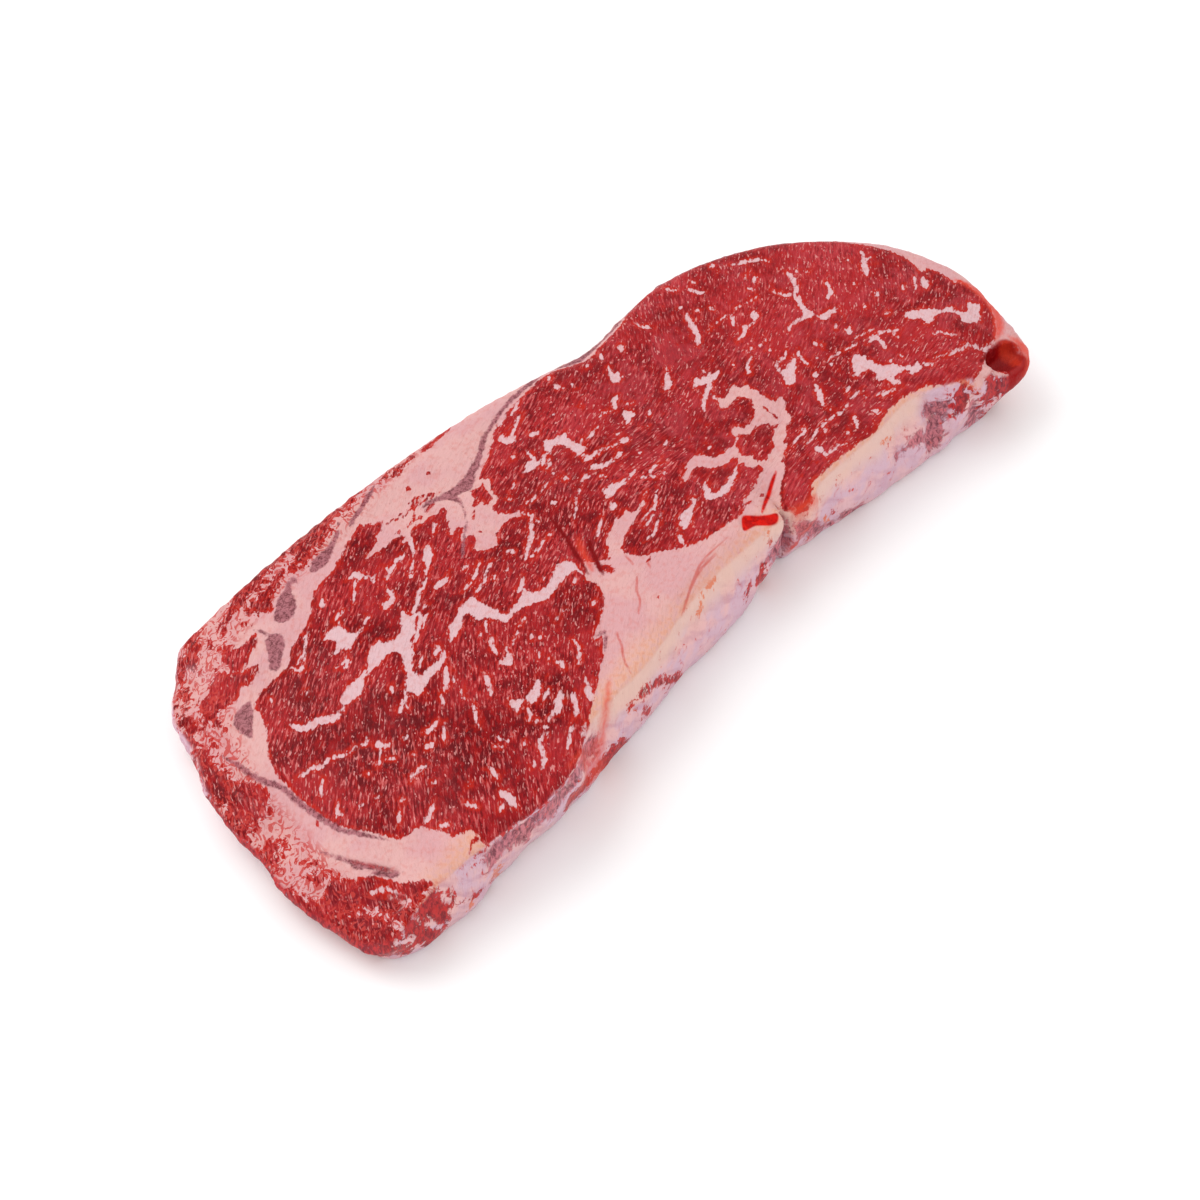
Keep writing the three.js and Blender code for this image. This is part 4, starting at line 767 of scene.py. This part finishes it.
def deepen(depth, places, path, depth_of):
    """Raise the depth of the places near the path to what depth_of gives for them."""
    near = np.all((places > path.min(axis=0) - REACH) & (places < path.max(axis=0) + REACH), axis=1)
    depth[near] = np.maximum(depth[near], np.clip(depth_of(*distance_to(path, places[near])), -REACH, REACH))


def patch_depth(places, outlines):
    """Depth of each place inside the outlines, below zero outside them."""
    def from_edge(distance, along, inside):
        return np.where(inside, distance, -distance)

    depth = np.full(len(places), -REACH)
    for outline in outlines:
        deepen(depth, places, curve_through(outline, True), from_edge)
    return depth


def line_depth(places, lines):
    """Depth of each place inside the lines, which narrow to their ends."""
    def from_edge(distance, along, inside):
        return width / 2 * (1 - LINE_TAPER * (2 * along - 1) ** 4) - distance

    depth = np.full(len(places), -REACH)
    for width, paths in lines.items():
        for points in paths:
            deepen(depth, places, curve_through(points, False), from_edge)
    return depth


def ramp(value, start, end):
    share = np.clip((value - start) / (end - start), 0, 1)
    return share * share * (3 - 2 * share)


def noise_at(places, scale, seed):
    """Smooth noise from -1 to 1 at each place, with a scale in mm for each axis."""
    shift = Vector([seed * step for step in NOISE_SHIFT])
    across = Vector(scale)
    return np.array([noise.noise(Vector((x / across.x, y / across.y, z / across.z)) + shift)
                     for x, y, z in places])


def resampled_mesh(name, source):
    """An even quad mesh of the source object's surface."""
    copy = bpy.data.objects.new(name, source.data.copy())
    bpy.context.collection.objects.link(copy)
    remesh = copy.modifiers.new("even grid", "REMESH")
    remesh.mode = "VOXEL"
    remesh.voxel_size = SKIN_STEP
    settle = copy.modifiers.new("evened steps", "SMOOTH")
    settle.factor = SMOOTHING_SHARE
    settle.iterations = SMOOTHING_ROUNDS
    bpy.context.view_layer.update()
    depsgraph = bpy.context.evaluated_depsgraph_get()
    mesh = bpy.data.meshes.new_from_object(copy.evaluated_get(depsgraph))
    copy.modifiers.clear()
    copy.data = mesh
    return copy


def close_sole(mesh):
    """Swap the many small faces of the flat underside for one."""
    shell = bmesh.new()
    shell.from_mesh(mesh)
    sole = [face for face in shell.faces
            if face.normal.z < SOLE_SLOPE and face.calc_center_median().z < SOLE_HEIGHT]
    bmesh.ops.delete(shell, geom=sole, context="FACES")
    loose = [vertex for vertex in shell.verts if not vertex.link_faces]
    bmesh.ops.delete(shell, geom=loose, context="VERTS")
    border = [edge for edge in shell.edges if edge.is_boundary]
    for vertex in {vertex for edge in border for vertex in edge.verts}:
        vertex.co.z = 0
    bmesh.ops.holes_fill(shell, edges=border, sides=0)
    shell.to_mesh(mesh)
    shell.free()


def drop_below_rim(places, side):
    """Height of the nearest stretch of rim above each place, in mm."""
    rim = np.flatnonzero((side > RIM_START) & (side < RIM_END) & (places[:, 2] > RIM_HEIGHT))
    tree = kdtree.KDTree(len(rim))
    for vertex in rim:
        tree.insert((places[vertex, 0], places[vertex, 1], 0), vertex)
    tree.balance()
    drop = np.zeros(len(places))
    for vertex in np.flatnonzero(side > RIM_START):
        nearest = tree.find((places[vertex, 0], places[vertex, 1], 0))[1]
        drop[vertex] = places[nearest, 2] - places[vertex, 2]
    return drop


def lay_grain(mesh):
    """A map whose first axis runs along the muscle fibres, turned region by region."""
    seeds = np.array([(x, y) for x, y, _ in GRAIN], dtype=float)
    turns = np.radians([angle for _, _, angle in GRAIN])
    layer = mesh.uv_layers.new(name="grain")
    corners = np.zeros((len(mesh.loops), 2))
    for face in mesh.polygons:
        centre = face.center / MM
        spot = centre * GRAIN_SCALE
        wander = Vector((noise.noise(spot), noise.noise(-spot))) * GRAIN_WANDER
        offset = seeds - (centre.x + wander.x, centre.y + wander.y)
        seed = int(np.argmin((offset ** 2).sum(axis=1)))
        turn = turns[seed]
        for corner in face.loop_indices:
            place = mesh.vertices[mesh.loops[corner].vertex_index].co / MM
            corners[corner] = (place.x * math.cos(turn) + place.y * math.sin(turn) + GRAIN_STRIDE * seed,
                               place.y * math.cos(turn) - place.x * math.sin(turn))
    layer.data.foreach_set("uv", corners.ravel())


def cut_face_marks(plan, strips):
    """Depths of meat, skins and cuts at each place of the plan, with the shares of its regions."""
    fat = np.maximum(patch_depth(plan, FAT_PATCHES), line_depth(plan, MARBLING))
    muscle = patch_depth(plan, MUSCLES)
    across = plan[:, 1] - WARM_EDGE - WARM_SLOPE * plan[:, 0]
    return {
        "meat": np.maximum(np.minimum(muscle, -fat), strips),
        "marbled": ramp(muscle, *MARBLED_DEPTH),
        "lobe": patch_depth(plan, LOBES),
        "silver_and_rim_highlight": np.maximum(patch_depth(plan, SILVER_PATCHES), line_depth(plan, SILVER_LINES_AND_RIM_HIGHLIGHT)),
        "slit": np.maximum(line_depth(plan, SLITS), patch_depth(plan, GASHES)),
        "cleft": line_depth(plan, CLEFTS),
        "pocket": patch_depth(plan, POCKETS),
        "glow": line_depth(plan, GLOWS),
        "vein": line_depth(plan, VEINS),
        "ragged": ramp(line_depth(plan, RAGGED_MARGIN), -REACH, REACH),
        "warm": ramp(across, *WARM_ACROSS) * ramp(plan[:, 0], *WARM_ALONG),
    }


def side_marks(plan, upright, strips):
    """Depths of red muscle, amber and purple patches at each place of the side, and the share of its cream
    top. The side beyond the tail's end is painted dark red as shade, and some purple patches are painted
    shade.
    """
    blood_and_tail_shade = np.minimum(patch_depth(upright, SIDE_MUSCLES), -line_depth(upright, SIDE_SEAMS))
    blood_and_tail_shade = np.maximum(blood_and_tail_shade, np.maximum(strips, line_depth(upright, SIDE_STREAKS)))
    return {
        # Beyond the tail's end the whole side is marked too, painted dark red as shade.
        "blood_and_tail_shade": np.maximum(blood_and_tail_shade, np.clip(SHADED_TAIL_END - plan[:, 0], -REACH, REACH)),
        "amber": line_depth(upright, SIDE_AMBER),
        "purple": patch_depth(upright, SIDE_MEMBRANES_AND_SHADE),
        "pale": ramp(upright[:, 0], *CREAM_START) * ramp(upright[:, 0], *CREAM_END),
    }


def face_relief(places, marks):
    """Rise of the cut face at each place: muscle, cuts, crumbs and fine unevenness."""
    lift = MUSCLE_RISE * ramp(marks["meat"], *MUSCLE_SLOPE) - CUT_SINK * ramp(marks["slit"], *CUT_SLOPE)
    lift += CRUMB_RISE * marks["ragged"] * noise_at(places, CRUMB_SCALE, 1)
    lift += FINE_RISE * noise_at(places, FINE_SCALE, 2)
    return lift


def side_relief(places, upright, purple):
    """Rise of the side at each place: upright ribs, sunk purple patches and the ribs of the recess."""
    ribs = noise_at(places, RIB_SCALE, 3) + SMALL_RIB_SHARE * noise_at(places, SMALL_RIB_SCALE, 4)
    ribs = RIB_RISE * ribs - PURPLE_SINK * ramp(purple, *PURPLE_SLOPE)
    recess = np.exp(-((upright[:, 0] - RECESS_X) / RECESS_WIDTH) ** 2)
    waves = np.sin(2 * np.pi * (upright[:, 1] + RECESS_SLANT * upright[:, 0]) / RECESS_STEP)
    ribs += RECESS_RIB * recess * waves
    return ribs * ramp(places[:, 2], *RIB_FOOT)


def shape_skin(mesh):
    """Mark the muscles, fat and skins on the mesh, and raise their relief."""
    places = np.zeros(len(mesh.vertices) * 3)
    mesh.vertices.foreach_get("co", places)
    places = places.reshape(-1, 3) / MM
    normals = np.zeros(len(mesh.vertices) * 3)
    mesh.vertex_normals.foreach_get("vector", normals)
    normals = normals.reshape(-1, 3)

    side = 1 - ramp(normals[:, 2], SIDE_END, SIDE_START)
    plan = places[:, :2]
    upright = np.stack([np.where(plan[:, 1] < 0, plan[:, 0], -plan[:, 0]), places[:, 2]], axis=1)
    strips = line_depth(plan, RED_STRIPS)
    marks = {"side": side, "drop": drop_below_rim(places, side)}
    marks.update(cut_face_marks(plan, strips))
    marks.update(side_marks(plan, upright, strips))
    for name, values in marks.items():
        mesh.attributes.new(name, "FLOAT", "POINT").data.foreach_set("value", values.astype(np.float32))

    lift = (1 - side) * face_relief(places, marks) + side * side_relief(places, upright, marks["purple"])
    moved = places + normals * lift[:, None]
    mesh.vertices.foreach_set("co", (moved * MM).ravel())
    mesh.update()
    lay_grain(mesh)
    mesh.shade_smooth()


def colour(screen):
    """A linear colour from its screen values, by the sRGB curve."""
    return tuple(((value / 255 + 0.055) / 1.055) ** 2.4 for value in screen) + (1,)


class Shades:
    """Short calls that add nodes to a material and join them."""

    def __init__(self, material):
        material.use_nodes = True
        self.tree = material.node_tree
        self.shader = self.tree.nodes["Principled BSDF"]

    def add(self, kind, inputs=(), **settings):
        node = self.tree.nodes.new(kind)
        for name, value in settings.items():
            setattr(node, name, value)
        for slot, value in dict(inputs).items():
            self.join(value, node.inputs[slot])
        return node

    def join(self, value, socket):
        if isinstance(value, bpy.types.NodeSocket):
            self.tree.links.new(value, socket)
        else:
            socket.default_value = value

    def marked(self, name):
        return self.add("ShaderNodeAttribute", attribute_name=name).outputs["Fac"]

    def math(self, operation, first, second):
        return self.add("ShaderNodeMath", {0: first, 1: second}, operation=operation).outputs[0]

    def product(self, first, second):
        return self.math("MULTIPLY", first, second)

    def blurred(self, name, wobble):
        """A marked depth whose edge the wobble makes uneven."""
        return self.math("ADD", self.marked(name), wobble)

    def step(self, value, start, end, low=0.0, high=1.0):
        """A smooth rise from low to high while the value goes from start to end."""
        inputs = {"Value": value, "From Min": start, "From Max": end, "To Min": low, "To Max": high}
        return self.add("ShaderNodeMapRange", inputs, interpolation_type="SMOOTHSTEP").outputs["Result"]

    def swing(self, value, reach):
        """A share turned into a shift of up to the reach each way."""
        return self.step(value, 0, 1, -reach, reach)

    def noise(self, place, scale, detail=2.0, rough=0.5, swirl=0.0):
        inputs = {"Vector": place, "Scale": scale, "Detail": detail, "Roughness": rough, "Distortion": swirl}
        return self.add("ShaderNodeTexNoise", inputs).outputs["Fac"]

    def squeezed(self, place, scale, shift=0.0):
        """The place squeezed by a factor for each axis."""
        inputs = {"Vector": place, "Location": (shift, shift, shift), "Scale": scale}
        return self.add("ShaderNodeMapping", inputs).outputs[0]

    def streaks(self, grain, along, across, shift, detail, rough=0.5):
        """Noise drawn out along the fibres."""
        return self.noise(self.squeezed(grain, (along, across, across), shift), 1.0, detail, rough)

    def mix(self, share, first, second):
        """The first colour with a share of the second."""
        node = self.add("ShaderNodeMix", data_type="RGBA")
        self.join(share, node.inputs[MIX_SHARE])
        for socket, value in ((MIX_FIRST, first), (MIX_SECOND, second)):
            self.join(colour(value) if isinstance(value, tuple) else value, node.inputs[socket])
        return node.outputs[MIX_RESULT]

    def layered(self, base, layers):
        """The base colour under layers, each given by its share and its colour."""
        for share, tint in layers:
            base = self.mix(share, base, tint)
        return base


def muscle_colour(shades, grain, place):
    """Dark to lighter red in lumps, with painted shade in the gaps and painted highlights on the ridges
    between the fibres.
    """
    lumps = shades.streaks(grain, *MUSCLE_LUMPS)
    strands = shades.streaks(grain, *MUSCLE_STRANDS)
    along = shades.add("ShaderNodeSeparateXYZ", {"Vector": place}).outputs["X"]
    blotches = shades.product(shades.step(shades.noise(place, *MUSCLE_BLOTCHES), *BLOTCH_RAMP),
                              shades.step(along, *BLOTCH_REGION))
    calm = shades.product(shades.step(shades.noise(place, *MUSCLE_CALM), *CALM_RAMP),
                          shades.step(along, *CALM_REGION))
    return shades.layered(MUSCLE_DARK, [
        (shades.step(lumps, *LUMP_RAMP), MUSCLE_RED),
        (shades.step(shades.noise(place, *MUSCLE_BROAD), *BROAD_RAMP), MUSCLE_LIGHT),
        (shades.step(along, *THICK_END_RAMP), MUSCLE_LIGHT),
        (blotches, MUSCLE_ROSY),
        (shades.step(lumps, *BRIGHT_RAMP), MUSCLE_EDGE),
        (shades.step(shades.marked("lobe"), *LOBE_RAMP), MUSCLE_DUSK),
        # Painted shade in the gaps between the fibres, then painted highlights on their ridges.
        (shades.product(shades.step(strands, *FIBRE_GAP_SHADE_RAMP), calm), MUSCLE_DARK),
        (shades.product(shades.step(strands, *FIBRE_RIDGE_HIGHLIGHT_RAMP), calm), MUSCLE_RIDGE_HIGHLIGHT),
    ])


def fleck_share(shades, grain):
    """Fine pale flecks that run along the fibres: partly flecks of fat, partly painted wet glints."""
    crowd = shades.step(shades.streaks(grain, *FLECK_CROWDS), *FLECK_CROWD_RAMP)
    lines = shades.product(shades.step(shades.streaks(grain, *FLECK_LINES), *FLECK_LINE_RAMP), crowd)
    specks = shades.step(shades.streaks(grain, *FLECK_SPECKS), *FLECK_SPECK_RAMP)
    return shades.math("MAXIMUM", lines, specks)


def fat_colour(shades, place):
    """Pink fat with creamier patches, warmer beside the near edge and paler inside the muscle."""
    fine = shades.noise(place, *FAT_FINE)
    return shades.layered(FAT_PINK, [
        (shades.step(shades.noise(place, *FAT_BROAD), *FAT_CREAM_RAMP), FAT_CREAM),
        (shades.product(shades.marked("warm"), shades.step(fine, *FAT_WARM_RAMP)), FAT_WARM),
        (shades.marked("marbled"), FAT_MARBLE),
        (shades.step(fine, *FAT_ROSY_RAMP), FAT_ROSY),
    ])


def side_colour(shades, place):
    """Pink fat and lilac membrane down the side, with red muscle, purple and amber patches; some purple, the
    dark red at the tail's end and part of the lilac at the foot are painted shade.
    """
    fine = shades.noise(shades.squeezed(place, SIDE_STREAK_SCALE), 1.0, *SIDE_STREAK_NOISE)
    turned = shades.add("ShaderNodeMapping", {"Vector": place, "Rotation": SIDE_SLANT_TURN}).outputs[0]
    slants = shades.noise(shades.squeezed(turned, SIDE_SLANT_SCALE), 1.0, *SIDE_SLANT_NOISE)
    mottles = shades.noise(place, *SIDE_MOTTLES)
    streaks = shades.step(fine, *SIDE_STREAK_RAMP)
    wobble = shades.math("ADD", shades.swing(mottles, MOTTLE_SWING), shades.swing(fine, STREAK_SWING))
    drop = shades.marked("drop")
    return shades.layered(SIDE_PINK, [
        (shades.step(shades.noise(place, *SIDE_WIDE), *SIDE_WIDE_RAMP), SIDE_LILAC),
        (shades.step(mottles, *SIDE_MOTTLE_RAMP), SIDE_ROSY),
        (shades.step(fine, *SIDE_FINE_RAMP), SIDE_ROSY),
        (shades.step(slants, *SIDE_SLANT_RAMP), SIDE_DUSK),
        # Lilac towards the foot of the side: partly membrane colour, partly painted shade.
        (shades.step(drop, *SIDE_FOOT_SHADE_RAMP), SIDE_LILAC),
        (shades.product(shades.step(drop, *SIDE_TOP_RAMP), shades.marked("pale")), SIDE_CREAM),
        # Purple membrane, and purple painted as shade in the notch recess and low down.
        (shades.step(shades.blurred("purple", wobble), *SIDE_PURPLE_RAMP),
         shades.mix(streaks, SIDE_PURPLE, SIDE_MAUVE)),
        (shades.step(shades.blurred("amber", wobble), *SIDE_AMBER_RAMP), SIDE_ORANGE),
        # Red muscle, and the painted shade on the side of the tail's end.
        (shades.step(shades.blurred("blood_and_tail_shade", wobble), *SIDE_BLOOD_AND_SHADE_RAMP),
         shades.mix(streaks, SIDE_RED, SIDE_BLOOD)),
    ])


def cut_face_colour(shades, grain, place, depth):
    """Muscle and fat on either side of their edges, and the share of fat; both are stained where ragged."""
    ragged = shades.marked("ragged")
    curls = shades.noise(place, *CURLS)
    patchy = shades.step(shades.noise(place, *MUSCLE_PATCHES), *EDGE_PATCH_RAMP)
    flecks = shades.product(fleck_share(shades, grain), shades.step(depth, *FLECK_DEPTH))
    red = shades.layered(muscle_colour(shades, grain, place), [
        (shades.product(shades.step(depth, *EDGE_GLOW_RAMP), patchy), MUSCLE_EDGE),
        (shades.product(shades.step(curls, *CURL_RAMP), ragged), FAT_RAW),
        # Pale flecks: partly fat, partly painted wet glints.
        (flecks, FLECK_PINK),
    ])
    stained = shades.product(shades.step(curls, *STAIN_RAMP), ragged)
    fat = shades.mix(stained, fat_colour(shades, place), FAT_RAW)
    fat_share = shades.step(depth, *EDGE_RAMP)
    return shades.mix(fat_share, red, fat), fat_share


def meat_depth(shades, grain, place, wobble):
    """Depth inside the muscles, with edges that are feathered by the fibres and crumbly where ragged."""
    feather = shades.swing(shades.streaks(grain, *EDGE_FEATHER), FEATHER_SWING)
    crumbs = shades.swing(shades.noise(place, *CRUMBS), CRUMB_SWING)
    depth = shades.math("ADD", shades.marked("meat"), shades.math("ADD", wobble, feather))
    return shades.math("ADD", depth, shades.product(crumbs, shades.marked("ragged")))


def meat_material():
    """Raw beef: the cut face, the side and the sole in one material."""
    material = bpy.data.materials.new("raw beef")
    shades = Shades(material)
    grain = shades.add("ShaderNodeUVMap", uv_map="grain").outputs[0]
    here = shades.add("ShaderNodeTexCoord").outputs["Object"]
    place = shades.add("ShaderNodeVectorMath", {0: here, "Scale": 1 / MM}, operation="SCALE").outputs[0]
    wobble = shades.swing(shades.noise(place, *EDGE_NOISE), EDGE_SWING)
    # Where the silver skin is darker, as painted shade in its creases.
    creases = shades.step(shades.noise(place, *CREASES), *CREASE_RAMP)
    wet = shades.step(shades.noise(place, *WET_SPOTS), *WET_RAMP)

    top, fat_share = cut_face_colour(shades, grain, place, meat_depth(shades, grain, place, wobble))
    skin = shades.layered(top, [
        # Silver skin, and along the right rim partly a painted highlight.
        (shades.step(shades.blurred("silver_and_rim_highlight", wobble), *SILVER_AND_HIGHLIGHT_RAMP),
         # Painted shade in the creases of the silver skin.
         shades.mix(creases, SILVER_CREASE_SHADE, SILVER_SKIN_AND_HIGHLIGHT)),
        (shades.step(shades.marked("vein"), *VEIN_RAMP), VEIN_RED),
        (shades.marked("side"), side_colour(shades, place)),
        (shades.step(shades.marked("pocket"), *POCKET_RAMP), POCKET_RED),
        (shades.step(shades.blurred("glow", wobble), *GLOW_RAMP), GLOW_ORANGE),
        # Slit and gash: bright red with patches of painted shade; clefts: painted shade.
        (shades.step(shades.marked("slit"), *SLIT_RAMP), shades.mix(wet, CUT_SHADE_RED, SLIT_RED)),
        (shades.step(shades.blurred("cleft", wobble), *CLEFT_RAMP), CLEFT_SHADE_RED),
    ])
    bumps = {
        "Height": shades.streaks(grain, *FIBRE_BUMPS),
        "Strength": BUMP_STRENGTH,
        "Distance": BUMP_HEIGHT,
    }
    finish = {
        "Base Color": skin,
        "Roughness": shades.step(fat_share, 0, 1, *ROUGHNESS_RANGE),
        "Specular IOR Level": GLOSS,
        "Coat Weight": WET_COAT,
        "Coat Roughness": WET_ROUGHNESS,
        "Normal": shades.add("ShaderNodeBump", bumps).outputs[0],
    }
    for name, value in finish.items():
        shades.join(value, shades.shader.inputs[name])
    return material


def add_steak():
    """The dressed steak, in place of the plain solid."""
    skin = resampled_mesh("steak_skin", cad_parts["steak"])
    close_sole(skin.data)
    shape_skin(skin.data)
    skin.data.materials.clear()
    skin.data.materials.append(meat_material())
    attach(skin, "root")
    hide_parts("steak")


def add_camera():
    level = math.cos(CAMERA_ELEVATION)
    back = Vector((math.sin(CAMERA_AZIMUTH) * level, -math.cos(CAMERA_AZIMUTH) * level,
                   math.sin(CAMERA_ELEVATION)))
    right = Vector((math.cos(CAMERA_AZIMUTH), math.sin(CAMERA_AZIMUTH), 0))
    turn = Matrix((right, back.cross(right), back)).transposed().to_4x4()
    camera = bpy.data.objects.new("camera", bpy.data.cameras.new("camera"))
    camera.data.lens = CAMERA_LENS
    camera.data.sensor_width = CAMERA_SENSOR
    camera.matrix_world = Matrix.Translation(CAMERA_AIM + back * CAMERA_DISTANCE) @ turn
    bpy.context.collection.objects.link(camera)
    bpy.context.scene.camera = camera


def add_floor():
    mesh = bpy.data.meshes.new("floor")
    corners = [(x * FLOOR_HALF, y * FLOOR_HALF, 0) for x, y in ((-1, -1), (1, -1), (1, 1), (-1, 1))]
    mesh.from_pydata(corners, [], [(0, 1, 2, 3)])
    floor = bpy.data.objects.new("floor", mesh)
    bpy.context.collection.objects.link(floor)
    material = bpy.data.materials.new("pale floor")
    material.use_nodes = True
    shader = material.node_tree.nodes["Principled BSDF"]
    shader.inputs["Base Color"].default_value = FLOOR_COLOUR
    shader.inputs["Roughness"].default_value = FLOOR_ROUGHNESS
    mesh.materials.append(material)


def add_lamp():
    lamp = bpy.data.objects.new("key", bpy.data.lights.new("key", "AREA"))
    lamp.data.size = LAMP_SIZE
    lamp.data.energy = LAMP_POWER
    lamp.location = LAMP_PLACE
    lamp.rotation_euler = (-Vector(LAMP_PLACE)).to_track_quat("-Z", "Y").to_euler()
    bpy.context.collection.objects.link(lamp)


def add_sky():
    world = bpy.data.worlds.new("studio")
    world.use_nodes = True
    background = world.node_tree.nodes["Background"]
    background.inputs["Color"].default_value = SKY_COLOUR
    background.inputs["Strength"].default_value = SKY_STRENGTH
    bpy.context.scene.world = world


add_steak()
add_camera()
add_floor()
add_sky()
add_lamp()
bpy.context.scene.view_settings.view_transform = "Standard"
